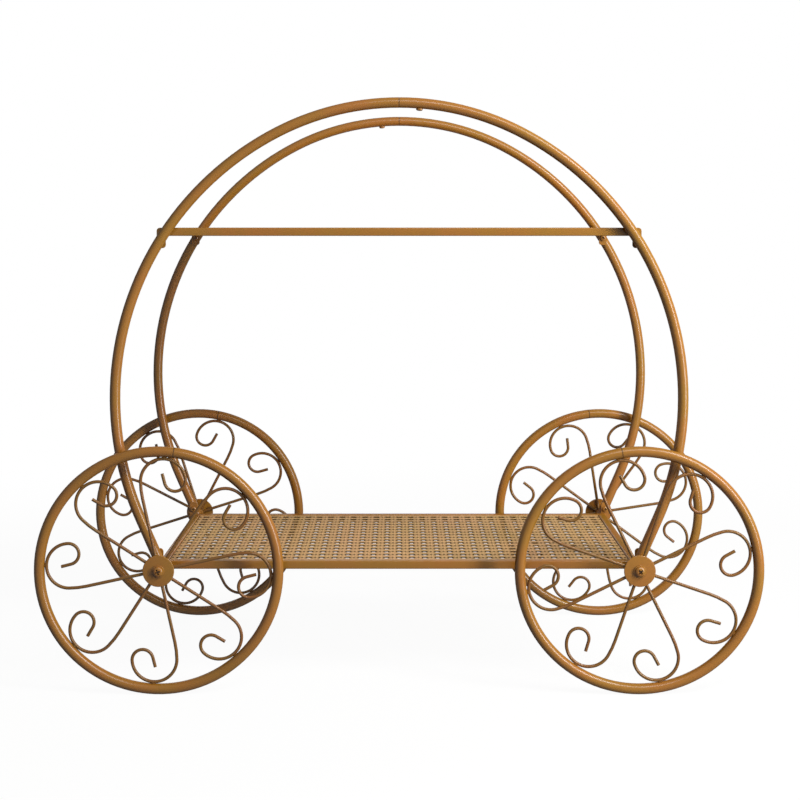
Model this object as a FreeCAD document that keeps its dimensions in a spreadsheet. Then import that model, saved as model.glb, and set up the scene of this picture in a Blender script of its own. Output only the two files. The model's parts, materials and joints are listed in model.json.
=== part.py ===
# Carriage-shaped display stand: two round-tube hoops on four scroll-spoked wheels, with a
# perforated deck low between the hoops and a like shelf near their crown, in painted steel.
# Millimetres, +Z up, origin on the floor under the middle. The front faces -Y.

import FreeCAD, Part
import math
import os
import Sketcher

# Driving sizes: alias, number, what it measures (lengths in millimetres, angles in degrees)
SIZES = (
    ("wheel_diameter", 300, "wheel, outside of the rim"),
    ("wheel_base", 578, "axle to axle along the stand"),
    ("rim_tube", 12.7, "rim tube, outside"),
    ("rim_wall", 1.2, "rim tube, wall"),
    ("spoke_wire", 4, "scroll spoke, wire diameter"),
    ("spoke_count", 8, "scroll spokes in a wheel"),
    ("scroll_lead_radius", 100, "first gentle bend of a spoke"),
    ("scroll_lead_turn", 12, "angle of the first gentle bend"),
    ("scroll_loop_radius", 27, "large bend that meets the rim"),
    ("scroll_loop_turn", 178, "angle of the large bend"),
    ("scroll_curl_radius", 12.7, "small bend inside the loop"),
    ("scroll_curl_turn", 168, "angle of the small bend"),
    ("scroll_tip", 12, "straight end of the curl"),
    ("front_left_phase", 12.3, "turn of the front left wheel"),
    ("front_right_phase", 26.3, "turn of the front right wheel"),
    ("back_left_phase", 27.3, "turn of the back left wheel"),
    ("back_right_phase", 36.3, "turn of the back right wheel"),
    ("hub_disc", 38, "hub disc, diameter"),
    ("hub_disc_thickness", 2, "hub disc, thickness"),
    ("bush_length", 8, "hub bush, length"),
    ("bush_wall", 3, "hub bush, wall"),
    ("hoop_tube", 12.7, "hoop tube, outside"),
    ("hoop_wall", 1.2, "hoop tube, wall"),
    ("hoop_spacing", 300, "front hoop to back hoop, between centrelines"),
    ("leg_straight", 63.5, "straight hoop leg above the axle"),
    ("leg_lean", 23.5, "lean of the leg from upright"),
    ("side_radius", 364, "bend of the hoop's sides"),
    ("shoulder_angle", 63, "where the side bend meets the crown bend, above level"),
    ("sleeve_wall", 1.5, "crown joint sleeve, wall"),
    ("sleeve_reach", 40, "crown joint sleeve, each side of the seam"),
    ("crown_screw_offset", 25, "crown joint screw, from the seam"),
    ("crown_thread", 4, "crown joint screw, thread"),
    ("crown_screw_length", 8, "crown joint screw, under the head"),
    ("crown_screw_head", 8, "crown joint screw, head diameter"),
    ("crown_screw_head_height", 2.6, "crown joint screw, head height"),
    ("plug_cap", 1.5, "leg plug, cap thickness"),
    ("plug_spigot", 6, "leg plug, spigot length"),
    ("plug_gap", 3, "leg plug, room below the axle boss"),
    ("rail_size", 10, "square rail, outside"),
    ("rail_wall", 1, "square rail, wall"),
    ("rail_corner", 1, "square rail, corner radius"),
    ("deck_rise", 4.5, "deck top above the axles"),
    ("tier_gap", 397.5, "clear height from the deck top to the shelf"),
    ("sheet_thickness", 1, "perforated sheet, thickness"),
    ("sheet_drop", 1, "perforated sheet, below the rail tops"),
    ("sheet_side_gap", 0.2, "perforated sheet, to the long rails"),
    ("sheet_end_gap", 1.5, "perforated sheet, to the short rails"),
    ("hole_pitch", 16, "perforation, square pitch"),
    ("hole_diameter", 8, "perforation, hole diameter"),
    ("hole_border", 8, "perforation, least distance of a hole's centre from the sheet's edge"),
    ("tab_width", 11, "corner tab, width"),
    ("tab_thickness", 2, "corner tab, thickness"),
    ("tab_corner", 4, "corner tab, rounding of its corners"),
    ("tab_end", 10, "corner tab, beyond its screw"),
    ("deck_head_gap", 2, "deck rail to the tab screw's head"),
    ("shelf_head_gap", 0.8, "shelf rail to the tab screw's head"),
    ("deck_tab_overhang", 0.5, "deck tab's middle beyond the deck's end"),
    ("shelf_tab_inset", 2, "shelf tab's middle inside the shelf's end"),
    ("tab_thread", 4, "tab screw, thread"),
    ("tab_screw_length", 11, "tab screw, under the head"),
    ("tab_screw_head", 8, "tab screw, head diameter"),
    ("tab_screw_head_height", 2.6, "tab screw, head height"),
    ("insert_wall", 1, "threaded insert, wall"),
    ("insert_length", 8.5, "threaded insert, length"),
    ("axle_thread", 6, "axle screw, thread"),
    ("axle_screw_length", 30, "axle screw, under the head"),
    ("axle_screw_head", 12, "axle screw, head diameter"),
    ("axle_screw_head_height", 4, "axle screw, head height"),
    ("washer_diameter", 15, "axle washer, diameter"),
    ("washer_thickness", 1, "axle washer, thickness"),
    ("boss_wall", 1, "axle boss, wall of its shank"),
    ("boss_step", 3, "axle boss, collar beyond the shank"),
    ("boss_collar", 8.65, "axle boss, collar length"),
    ("boss_back_gap", 0.4, "axle boss, shank's end to the far side of the tube's bore"),
    ("running_clearance", 0.05, "radial play of shafts and threads"),
    ("seat_clearance", 0.1, "radial play of drilled seats"),
    ("axial_play", 0.2, "end play of a wheel at each side"),
    ("weld_gap", 0.2, "gap that a weld fills"),
)

# What follows from the driving sizes, in the order of use
DERIVED = (
    ("hub_x", "Sizes.wheel_base / 2"),
    ("axle_z", "Sizes.wheel_diameter / 2"),
    ("rim_radius", "(Sizes.wheel_diameter - Sizes.rim_tube) / 2"),
    ("hoop_y", "Sizes.hoop_spacing / 2"),
    ("tube_radius", "Sizes.hoop_tube / 2"),
    ("tube_bore", "Sizes.hoop_tube / 2 - Sizes.hoop_wall"),
    # Hoop: leg, side bend and crown bend are tangent, and the crown's middle is over the origin
    ("leg_top_z", "axle_z + Sizes.leg_straight * cos(Sizes.leg_lean)"),
    ("side_x", "hub_x + Sizes.leg_straight * sin(Sizes.leg_lean)"
               " - Sizes.side_radius * cos(Sizes.leg_lean)"),
    ("side_z", "leg_top_z + Sizes.side_radius * sin(Sizes.leg_lean)"),
    ("crown_radius", "Sizes.side_radius + side_x / cos(Sizes.shoulder_angle)"),
    ("crown_z", "side_z + (Sizes.side_radius - crown_radius) * sin(Sizes.shoulder_angle)"),
    ("shoulder_z", "crown_z + crown_radius * sin(Sizes.shoulder_angle)"),
    ("sleeve_angle", "2 * Sizes.sleeve_reach / crown_radius * 180 / pi"),
    ("crown_screw_angle", "Sizes.crown_screw_offset / crown_radius * 180 / pi"),
    # Axle stack, measured outwards from the hoop's middle plane
    ("boss_shank", "Sizes.axle_thread / 2 + Sizes.boss_wall"),
    ("boss_depth", "sqrt(max(0; (tube_bore - Sizes.boss_back_gap) ^ 2 - boss_shank ^ 2))"),
    ("boss_face", "tube_radius + Sizes.boss_collar"),
    ("bush_end", "boss_face + Sizes.axial_play + Sizes.bush_length"),
    ("spoke_plane", "bush_end - Sizes.weld_gap - Sizes.spoke_wire / 2"),
    ("disc_face", "bush_end + Sizes.hub_disc_thickness"),
    ("washer_seat", "disc_face + Sizes.axial_play"),
    ("axle_seat", "washer_seat + Sizes.washer_thickness"),
    ("axle_bore", "Sizes.axle_thread / 2 + Sizes.running_clearance"),
    ("bush_radius", "axle_bore + Sizes.bush_wall"),
    ("leg_end", "boss_shank + Sizes.plug_gap + Sizes.plug_spigot"),
    # Scroll: the large bend lies against the inside of the rim
    ("spoke_start", "max(bush_radius + Sizes.weld_gap;"
                    " (Sizes.spoke_wire + Sizes.weld_gap) / (2 * sin(180 / Sizes.spoke_count)))"),
    ("loop_reach", "rim_radius - Sizes.rim_tube / 2 - Sizes.weld_gap - Sizes.spoke_wire / 2"
                   " - Sizes.scroll_loop_radius"),
    ("lead_extra", "Sizes.scroll_lead_radius - Sizes.scroll_loop_radius"),
    ("loop_offset", "Sizes.scroll_lead_radius - lead_extra * cos(Sizes.scroll_lead_turn)"),
    ("spoke_run", "sqrt(loop_reach ^ 2 - loop_offset ^ 2) - lead_extra * sin(Sizes.scroll_lead_turn)"
                  " - spoke_start"),
    # Deck and shelf between the hoops
    ("tray_y", "hoop_y - tube_radius - Sizes.seat_clearance - Sizes.tab_thickness"),
    ("deck_top", "axle_z + Sizes.deck_rise"),
    ("shelf_top", "deck_top + Sizes.tier_gap + Sizes.rail_size"),
    ("deck_screw_drop", "Sizes.deck_head_gap + Sizes.tab_screw_head / 2"),
    ("shelf_screw_drop", "Sizes.shelf_head_gap + Sizes.tab_screw_head / 2"),
    ("deck_screw_z", "deck_top + deck_screw_drop"),
    ("shelf_screw_z", "shelf_top - Sizes.rail_size - shelf_screw_drop"),
    ("insert_radius", "Sizes.tab_thread / 2 + Sizes.insert_wall"),
)

# Rails of a tray: name, turn about Z, whether it is a long one, and its side of the middle
RAILS = (("front", 0, True, -1), ("back", 180, True, 1), ("right", 90, False, 1), ("left", -90, False, -1))

# Corners of the stand: name, side along X, face along Y
CORNERS = (("front_left", -1, -1), ("front_right", 1, -1), ("back_left", -1, 1), ("back_right", 1, 1))

# Pan-head screws, as shares of the head's or thread's own size
PAN_FLAT = 0.6
PAN_EDGE = 0.4
TIP_LEAD = 0.1
RECESS_LENGTH = 0.5
RECESS_WIDTH = 0.13
RECESS_DEPTH = 0.55

X_AXIS = FreeCAD.Vector(1, 0, 0)
Y_AXIS = FreeCAD.Vector(0, 1, 0)
Z_AXIS = FreeCAD.Vector(0, 0, 1)
START, END, CENTRE = 1, 2, 3  # places on a sketch's line or arc

doc = FreeCAD.newDocument("carriage_stand")
nodes = []


def hoop_x(height):
    """Expression for the hoop centreline's distance from the middle at a height."""
    leg = f"hub_x + ({height} - axle_z) * tan(Sizes.leg_lean)"
    side = f"side_x + sqrt(Sizes.side_radius ^ 2 - ({height} - side_z) ^ 2)"
    crown = f"sqrt(crown_radius ^ 2 - ({height} - crown_z) ^ 2)"
    return f"{height} < leg_top_z ? {leg} : ({height} < shoulder_z ? {side} : {crown})"


def make_sizes():
    """Spreadsheet of driving sizes and the set of values that follow from them."""
    table = doc.addObject("Spreadsheet::Sheet", "Sizes")
    for row, (alias, number, note) in enumerate(SIZES, start=1):
        table.set(f"A{row}", note)
        table.set(f"B{row}", str(number))
        table.setAlias(f"B{row}", alias)
    doc.recompute()
    values = doc.addObject("App::VarSet", "Derived")
    on_hoop = (
        ("deck_screw_x", hoop_x("deck_screw_z")),
        ("shelf_screw_x", hoop_x("shelf_screw_z")),
        ("deck_x", "deck_screw_x - Sizes.deck_tab_overhang"),
        ("shelf_x", "shelf_screw_x + Sizes.shelf_tab_inset"),
    )
    for name, expression in DERIVED + on_hoop:
        values.addProperty("App::PropertyFloat", name)
        values.setExpression(name, expression)
    doc.recompute()
    return table, values


sizes, derived = make_sizes()


def measure(expression):
    """Number that an expression gives."""
    return float(derived.evalExpression(expression))


def keep(feature, label):
    """Hand a finished piece to the list of nodes under its own label."""
    feature.Label = label
    nodes.append(feature)
    return feature


def place(feature, base, axis=Z_AXIS, angle="0"):
    """Bind a feature's place and its turn about one axis to expressions."""
    feature.Placement = FreeCAD.Placement(FreeCAD.Vector(), FreeCAD.Rotation(axis, measure(angle)))
    for letter, expression in zip("xyz", base):
        feature.setExpression(f"Placement.Base.{letter}", expression)
    if "Sizes" in angle or "Derived" in angle:
        feature.setExpression("Placement.Rotation.Angle", angle)
    return feature


def outward(face):
    """Turn about X that points a piece's own Z axis out of the stand's front or back."""
    return str(-90 * face)


def inward(face):
    """Turn about X that points a piece's own Z axis into the stand."""
    return str(90 * face)


# Sketches


def new_sketch(body, name, role, offset=None):
    """Sketch on one of the body's own planes, shifted along the plane's normal if asked."""
    sketch = body.newObject("Sketcher::SketchObject", name)
    support = next(item for item in body.Origin.OriginFeatures if item.Role == role)
    sketch.AttachmentSupport = [(support, "")]
    sketch.MapMode = "FlatFace"
    if offset:
        sketch.setExpression("AttachmentOffset.Base.z", offset)
    return sketch


def dimension(sketch, constraint, expression):
    """Add a constraint whose value is an expression."""
    number = sketch.addConstraint(constraint)
    sketch.setExpression(f"Constraints[{number}]", expression)


def fix_point(sketch, item, end, across, up):
    """Bind a point of a sketch item to its two distances from the sketch's origin."""
    for kind, expression in (("DistanceX", across), ("DistanceY", up)):
        constraint = Sketcher.Constraint(kind, -1, START, item, end, measure(expression))
        dimension(sketch, constraint, expression)


def outline(sketch, corners):
    """Closed outline of straight edges through corners given as pairs of expressions."""
    points = [FreeCAD.Vector(measure(across), measure(up), 0) for across, up in corners]
    following = points[1:] + points[:1]
    lines = [sketch.addGeometry(Part.LineSegment(a, b), False) for a, b in zip(points, following)]
    for line, after, corner in zip(lines, lines[1:] + lines[:1], corners):
        sketch.addConstraint(Sketcher.Constraint("Coincident", line, END, after, START))
        fix_point(sketch, line, START, *corner)


def circle(sketch, across, up, diameter):
    """Circle with its middle and diameter bound to expressions."""
    middle = FreeCAD.Vector(measure(across), measure(up), 0)
    item = sketch.addGeometry(Part.Circle(middle, Z_AXIS, measure(diameter) / 2), False)
    fix_point(sketch, item, CENTRE, across, up)
    dimension(sketch, Sketcher.Constraint("Diameter", item, measure(diameter)), diameter)


def direction(heading):
    """Unit vector in a sketch at an angle from its +X, in degrees."""
    return FreeCAD.Vector(math.cos(math.radians(heading)), math.sin(math.radians(heading)), 0)


def bend_path(sketch, start, heading, moves):
    """Open path of straight runs and tangent bends, as a tube bender's list gives it.

    It leaves its start level, heading 0 (along the sketch's +X) or 180 degrees. A move is
    ("run", length), ("left", radius, angle) or ("right", radius, angle), in expressions.
    """
    point = FreeCAD.Vector(measure(start[0]), measure(start[1]), 0)
    previous = None
    for kind, *values in moves:
        along = direction(heading)
        if kind == "run":
            after = point + along * measure(values[0])
            item = sketch.addGeometry(Part.LineSegment(point, after), False)
            enter, leave = START, END
            level = Sketcher.Constraint("Horizontal", item)
            dimension(sketch, Sketcher.Constraint("Distance", item, measure(values[0])), values[0])
        else:
            turn = 1 if kind == "left" else -1
            radius, sweep = measure(values[0]), measure(values[1])
            middle = point + Z_AXIS.cross(along) * turn * radius
            first = heading - 90 * turn
            last = first + turn * sweep
            low, high = sorted((math.radians(first), math.radians(last)))
            arc = Part.ArcOfCircle(Part.Circle(middle, Z_AXIS, radius), low, high)
            item = sketch.addGeometry(arc, False)
            enter, leave = (START, END) if turn > 0 else (END, START)
            after = middle + direction(last) * radius
            heading += turn * sweep
            level = Sketcher.Constraint("Vertical", item, enter, item, CENTRE)
            dimension(sketch, Sketcher.Constraint("Radius", item, radius), values[0])
            dimension(sketch, Sketcher.Constraint("Angle", item, math.radians(sweep)), values[1])
        if previous is None:
            fix_point(sketch, item, enter, *start)
            sketch.addConstraint(level)
        else:
            sketch.addConstraint(Sketcher.Constraint("Tangent", *previous, item, enter))
        previous = (item, leave)
        point = after


# Kinds of piece


def new_body(name):
    """Empty body."""
    return doc.addObject("PartDesign::Body", name)


def turned(name, corners):
    """Body turned about its own Z axis from an outline of (radius, height) corners."""
    body = new_body(name)
    sketch = new_sketch(body, f"{name}_profile", "XZ_Plane")
    outline(sketch, corners)
    turning = body.newObject("PartDesign::Revolution", f"{name}_turning")
    turning.Profile = sketch
    turning.ReferenceAxis = (sketch, ["V_Axis"])
    turning.Angle = 360
    return body


def turned_ring(name, inner, outer, low, high):
    """Plain ring between two radii and two heights."""
    return turned(name, ((inner, low), (outer, low), (outer, high), (inner, high)))


def swept(name, profile_name, path_name, ring_diameters, ring_middle, path, offset=None, plane="XZ_Plane"):
    """Body swept from circles on the YZ plane along a bent path on another plane."""
    body = new_body(name)
    spine = new_sketch(body, path_name, plane)
    bend_path(spine, *path)
    profile = new_sketch(body, profile_name, "YZ_Plane", offset)
    for diameter in ring_diameters:
        circle(profile, *ring_middle, diameter)
    doc.recompute()
    pipe = body.newObject("PartDesign::AdditivePipe", f"{name}_pipe")
    pipe.Profile = profile
    pipe.Spine = (spine, [f"Edge{number + 1}" for number in range(len(path[2]))])
    return body


def drill(name, radius, depth, base, axis, angle):
    """Round cutter from a base point along its own Z axis."""
    cutter = doc.addObject("Part::Cylinder", name)
    cutter.setExpression("Radius", radius)
    cutter.setExpression("Height", depth)
    return place(cutter, base, axis, angle)


def cut(name, base, tools):
    """Base with every tool taken out of it."""
    if len(tools) == 1:
        tool = tools[0]
    else:
        tool = doc.addObject("Part::MultiFuse", f"{name}_cutters")
        tool.Shapes = tools
    result = doc.addObject("Part::Cut", name)
    result.Base = base
    result.Tool = tool
    return result


def group(label, pattern, places):
    """Copies of one piece in one node, each at its own place."""
    copies = []
    for number, (base, axis, angle) in enumerate(places, start=1):
        copy = doc.addObject("App::Link", f"{label}_{number}")
        copy.LinkedObject = pattern
        copies.append(place(copy, base, axis, angle))
    together = doc.addObject("Part::Compound", label)
    together.Links = copies
    return keep(together, label)


def screw(name, thread, length, head, height):
    """Pan-head screw with a cross recess: its seat at z = 0, its shank along +Z."""
    rim = f"{head} / 2"
    shank = f"{thread} / 2"
    lead = f"{thread} * {TIP_LEAD}"
    blank = turned(f"{name}_blank", (
        ("0", f"-{height}"), (f"{head} * {PAN_FLAT} / 2", f"-{height}"), (rim, f"-{height} * {PAN_EDGE}"),
        (rim, "0"), (shank, "0"), (shank, f"{length} - {lead}"), (f"{shank} - {lead}", length),
        ("0", length),
    ))
    reach = f"{head} * {RECESS_LENGTH}"
    width = f"{head} * {RECESS_WIDTH}"
    depth = f"{height} * {RECESS_DEPTH}"
    arms = []
    for letter, across, up in (("a", reach, width), ("b", width, reach)):
        arm = doc.addObject("Part::Box", f"{name}_recess_{letter}")
        arm.setExpression("Length", across)
        arm.setExpression("Width", up)
        arm.setExpression("Height", f"2 * {depth}")
        arms.append(place(arm, (f"-{across} / 2", f"-{up} / 2", f"-{height} - {depth}")))
    return cut(name, blank, arms)


# Hoops


def crown_holder(side, face):
    """Whether this hoop half carries the crown joint's screw."""
    return side == -face


def hoop_half(side, face):
    """One half of a hoop: crown bend, side bend and straight leg, drilled for what it carries."""
    name = f"{'front' if face < 0 else 'back'}_hoop_{'right' if side > 0 else 'left'}"
    turn = "right" if side > 0 else "left"
    moves = (
        (turn, "Derived.crown_radius", "90 - Sizes.shoulder_angle"),
        (turn, "Sizes.side_radius", "Sizes.shoulder_angle + Sizes.leg_lean"),
        ("run", "Sizes.leg_straight + Derived.leg_end"),
    )
    top = "Derived.crown_z + Derived.crown_radius"
    middle_y = f"{face} * Derived.hoop_y"
    heading = 0 if side > 0 else 180
    tube = swept(f"{name}_tube", f"{name}_section", f"{name}_bends",
                 ("Sizes.hoop_tube", "2 * Derived.tube_bore"), ("0", top), (("0", top), heading, moves))
    place(tube, ("0", middle_y, "0"))
    cutters = [
        drill(f"{name}_axle_drill", "Derived.boss_shank + Sizes.seat_clearance", "Sizes.hoop_tube",
              (f"{side} * Derived.hub_x", middle_y, "Derived.axle_z"), X_AXIS, outward(face)),
    ]
    for tray in ("deck", "shelf"):
        spot = (f"{side} * Derived.{tray}_screw_x", middle_y, f"Derived.{tray}_screw_z")
        cutters.append(drill(f"{name}_{tray}_drill", "Derived.insert_radius + Sizes.seat_clearance",
                             "Sizes.hoop_tube", spot, X_AXIS, inward(face)))
    if crown_holder(side, face):
        cutters.append(crown_drill(f"{name}_crown_drill", side, middle_y, "Derived.crown_z"))
    keep(cut(name, tube, cutters), name)


def crown_drill(name, side, middle_y, middle_z):
    """Hole for a crown joint screw, from the crown's middle up to the tube's centreline."""
    radius = "Sizes.crown_thread / 2 + Sizes.running_clearance"
    return drill(name, radius, "Derived.crown_radius", ("0", middle_y, middle_z), Y_AXIS,
                 f"{side} * Derived.crown_screw_angle")


def crown_joints():
    """Sleeves inside the crown joints, and the screw under each."""
    body = new_body("sleeve_tube")
    section = new_sketch(body, "sleeve_section", "YZ_Plane")
    outside = "2 * (Derived.tube_bore - Sizes.seat_clearance)"
    circle(section, "0", "Derived.crown_radius", outside)
    circle(section, "0", "Derived.crown_radius", f"{outside} - 2 * Sizes.sleeve_wall")
    bend = body.newObject("PartDesign::Revolution", "sleeve_bend")
    bend.Profile = section
    bend.ReferenceAxis = (section, ["H_Axis"])
    bend.Midplane = True
    bend.setExpression("Angle", "Derived.sleeve_angle")
    sleeve = cut("sleeve", body, [crown_drill("sleeve_drill", 1, "0", "0")])
    middle_z = "Derived.crown_z"
    group("crown_sleeves", sleeve, [
        (("0", "-Derived.hoop_y", middle_z), Z_AXIS, "0"),
        (("0", "Derived.hoop_y", middle_z), Z_AXIS, "180"),
    ])
    pattern = screw("crown_screw", "Sizes.crown_thread", "Sizes.crown_screw_length",
                    "Sizes.crown_screw_head", "Sizes.crown_screw_head_height")
    seat = "(Derived.crown_radius - Derived.tube_radius - Sizes.seat_clearance)"
    places = []
    for face in (-1, 1):
        side = -face
        angle = f"{side} * Derived.crown_screw_angle"
        height = f"Derived.crown_z + {seat} * cos({angle})"
        spot = (f"{seat} * sin({angle})", f"{face} * Derived.hoop_y", height)
        places.append((spot, Y_AXIS, angle))
    group("crown_screws", pattern, places)


def leg_plugs():
    """Plugs in the lower ends of the hoop tubes."""
    spigot = "Derived.tube_bore - Sizes.seat_clearance"
    pattern = turned("leg_plug", (
        ("0", "-Sizes.plug_spigot"), (spigot, "-Sizes.plug_spigot"), (spigot, "0"),
        ("Derived.tube_radius", "0"), ("Derived.tube_radius", "Sizes.plug_cap"), ("0", "Sizes.plug_cap"),
    ))
    places = []
    for _, side, face in CORNERS:
        across = f"{side} * (Derived.hub_x - Derived.leg_end * sin(Sizes.leg_lean))"
        height = "Derived.axle_z - Derived.leg_end * cos(Sizes.leg_lean)"
        spot = (across, f"{face} * Derived.hoop_y", height)
        places.append((spot, Y_AXIS, f"180 + {side} * Sizes.leg_lean"))
    group("leg_plugs", pattern, places)


# Deck and shelf


def rail(label, length):
    """Square tube with mitred ends: outer face at y = 0, running along X, bottom at z = 0."""
    body = new_body(f"{label}_body")
    section = new_sketch(body, f"{label}_section", "YZ_Plane")
    full = "Sizes.rail_size"
    bore = f"{full} - Sizes.rail_wall"
    outline(section, (("0", "0"), (full, "0"), (full, full), ("0", full)))
    outline(section, (("Sizes.rail_wall", "Sizes.rail_wall"), (bore, "Sizes.rail_wall"), (bore, bore),
                      ("Sizes.rail_wall", bore)))
    pad = body.newObject("PartDesign::Pad", f"{label}_pad")
    pad.Profile = section
    pad.setExpression("Length", length)
    pad.Midplane = True
    doc.recompute()
    long_edges = outer_edges(pad.Shape)
    rounding = body.newObject("PartDesign::Fillet", f"{label}_corners")
    rounding.Base = (pad, long_edges)
    rounding.setExpression("Radius", "Sizes.rail_corner")
    doc.recompute()
    mitre = new_sketch(body, f"{label}_mitre", "XY_Plane")
    for side in (-1, 1):
        tip = f"{side} * ({length} / 2 + {full})"
        heel = f"{side} * ({length} / 2 - 2 * {full})"
        outline(mitre, ((tip, f"-{full}"), (tip, f"2 * {full}"), (heel, f"2 * {full}")))
    cutting = body.newObject("PartDesign::Pocket", f"{label}_mitres")
    cutting.Profile = mitre
    cutting.Type = "ThroughAll"
    cutting.Reversed = True
    return body


def outer_edges(shape):
    """Names of the four long edges at the outside of a square tube."""
    box = shape.BoundBox
    names = []
    for number, edge in enumerate(shape.Edges, start=1):
        span = edge.BoundBox
        on_side = min(abs(span.YMin - box.YMin), abs(span.YMax - box.YMax)) < 1e-6
        on_top = min(abs(span.ZMin - box.ZMin), abs(span.ZMax - box.ZMax)) < 1e-6
        if span.XLength > box.XLength / 2 and on_side and on_top:
            names.append(f"Edge{number}")
    return names


def perforated_sheet(label, half_length, top):
    """Flat sheet with a square grid of punched holes, set between a tray's rails."""
    width = 2 * measure(f"{half_length} - Sizes.rail_size - Sizes.sheet_end_gap")
    depth = 2 * measure("Derived.tray_y - Sizes.rail_size - Sizes.sheet_side_gap")
    thickness = measure("Sizes.sheet_thickness")
    pitch = measure("Sizes.hole_pitch")
    radius = measure("Sizes.hole_diameter / 2")
    border = measure("Sizes.hole_border")
    columns = int((width - 2 * border) // pitch) + 1
    rows = int((depth - 2 * border) // pitch) + 1
    blank = Part.makePlane(width, depth, FreeCAD.Vector(-width / 2, -depth / 2, 0))
    holes = []
    for column in range(columns):
        for row in range(rows):
            middle = FreeCAD.Vector((column - (columns - 1) / 2) * pitch, (row - (rows - 1) / 2) * pitch, 0)
            rim = Part.Wire(Part.Circle(middle, Z_AXIS, radius).toShape())
            rim.reverse()
            holes.append(rim)
    face = Part.Face(blank.OuterWire)
    face.cutHoles(holes)
    sheet = doc.addObject("Part::Feature", label)
    sheet.Shape = face.extrude(FreeCAD.Vector(0, 0, thickness))
    place(sheet, ("0", "0", f"{top} - Sizes.sheet_drop - Sizes.sheet_thickness"))
    keep(sheet, label)


def corner_tab(name, reach):
    """Flat tab with rounded corners: outer face at y = 0, rail edge at z = 0, free end upwards."""
    body = new_body(name)
    shape = new_sketch(body, f"{name}_outline", "XZ_Plane")
    half = "Sizes.tab_width / 2"
    foot = "-Sizes.rail_size"
    outline(shape, ((f"-{half}", foot), (half, foot), (half, reach), (f"-{half}", reach)))
    plate = body.newObject("PartDesign::Pad", f"{name}_plate")
    plate.Profile = shape
    plate.setExpression("Length", "Sizes.tab_thickness")
    doc.recompute()
    corners = []
    for number, edge in enumerate(plate.Shape.Edges, start=1):
        span = edge.BoundBox
        if span.YLength > span.DiagonalLength / 2:
            corners.append(f"Edge{number}")
    rounding = body.newObject("PartDesign::Fillet", f"{name}_rounding")
    rounding.Base = (plate, corners)
    rounding.setExpression("Radius", "Sizes.tab_corner")
    hole = drill(f"{name}_drill", "Sizes.tab_thread / 2 + Sizes.seat_clearance", "4 * Sizes.tab_thickness",
                 ("0", "2 * Sizes.tab_thickness", f"{reach} - Sizes.tab_end"), X_AXIS, "90")
    return cut(f"{name}_drilled", body, [hole])


def tray(name, tab_side):
    """A tier: four rails, a perforated sheet, and tabs that rise (1) or hang (-1) to the hoops."""
    half_length = f"Derived.{name}_x"
    top = f"Derived.{name}_top"
    bottom = f"{top} - Sizes.rail_size"
    for part, turn, is_long, side in RAILS:
        label = f"{name}_rail_{part}"
        if is_long:
            length = f"2 * {half_length}"
            spot = ("0", f"{side} * Derived.tray_y", bottom)
        else:
            length = "2 * Derived.tray_y"
            spot = (f"{side} * {half_length}", "0", bottom)
        keep(place(rail(label, length), spot, Z_AXIS, str(turn)), label)
    perforated_sheet(f"{name}_sheet", half_length, top)

    screw_x = f"Derived.{name}_screw_x"
    screw_z = f"Derived.{name}_screw_z"
    edge = top if tab_side > 0 else bottom
    pattern = corner_tab(f"{name}_tab", f"Derived.{name}_screw_drop + Sizes.tab_end")
    tabs = []
    screws = []
    inserts = []
    for _, side, face in CORNERS:
        across = f"{side} * {screw_x}"
        tab_face = f"{face} * Derived.tray_y"
        axis, turn = tab_turn(face, tab_side)
        tabs.append(((across, tab_face, edge), axis, turn))
        screws.append(((across, tab_face, screw_z), X_AXIS, outward(face)))
        tube_face = f"{face} * (Derived.hoop_y - Derived.tube_radius)"
        inserts.append(((across, tube_face, screw_z), X_AXIS, outward(face)))
    group(f"{name}_tabs", pattern, tabs)
    group(f"{name}_tab_screws", screw(f"{name}_tab_screw", "Sizes.tab_thread", "Sizes.tab_screw_length",
                                      "Sizes.tab_screw_head", "Sizes.tab_screw_head_height"), screws)
    insert = turned_ring(f"{name}_insert", "Sizes.tab_thread / 2 + Sizes.running_clearance",
                         "Derived.insert_radius", "0", "Sizes.insert_length")
    group(f"{name}_tab_inserts", insert, inserts)


def tab_turn(face, tab_side):
    """Axis and angle that stand a tab on a front or back rail, free end up or down."""
    if tab_side > 0:
        return (Z_AXIS, "0") if face < 0 else (Z_AXIS, "180")
    return (Y_AXIS, "180") if face < 0 else (X_AXIS, "180")


# Wheels


def axle_pieces():
    """Bosses in the hoop legs, axle screws and washers."""
    bore = "Derived.axle_bore"
    shank = "Derived.boss_shank"
    collar = f"{shank} + Sizes.boss_step"
    boss = turned("axle_boss", (
        (bore, "-Derived.boss_depth"), (shank, "-Derived.boss_depth"), (shank, "Derived.tube_radius"),
        (collar, "Derived.tube_radius"), (collar, "Derived.boss_face"), (bore, "Derived.boss_face"),
    ))
    washer = turned_ring("axle_washer", "Derived.axle_bore", "Sizes.washer_diameter / 2",
                         "Derived.washer_seat", "Derived.axle_seat")
    pattern = screw("axle_screw", "Sizes.axle_thread", "Sizes.axle_screw_length",
                    "Sizes.axle_screw_head", "Sizes.axle_screw_head_height")
    on_hoop = []
    seats = []
    for _, side, face in CORNERS:
        across = f"{side} * Derived.hub_x"
        on_hoop.append(((across, f"{face} * Derived.hoop_y", "Derived.axle_z"), X_AXIS, outward(face)))
        seat = f"{face} * (Derived.hoop_y + Derived.axle_seat)"
        seats.append(((across, seat, "Derived.axle_z"), X_AXIS, inward(face)))
    group("axle_bosses", boss, on_hoop)
    group("axle_washers", washer, on_hoop)
    group("axle_screws", pattern, seats)


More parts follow.
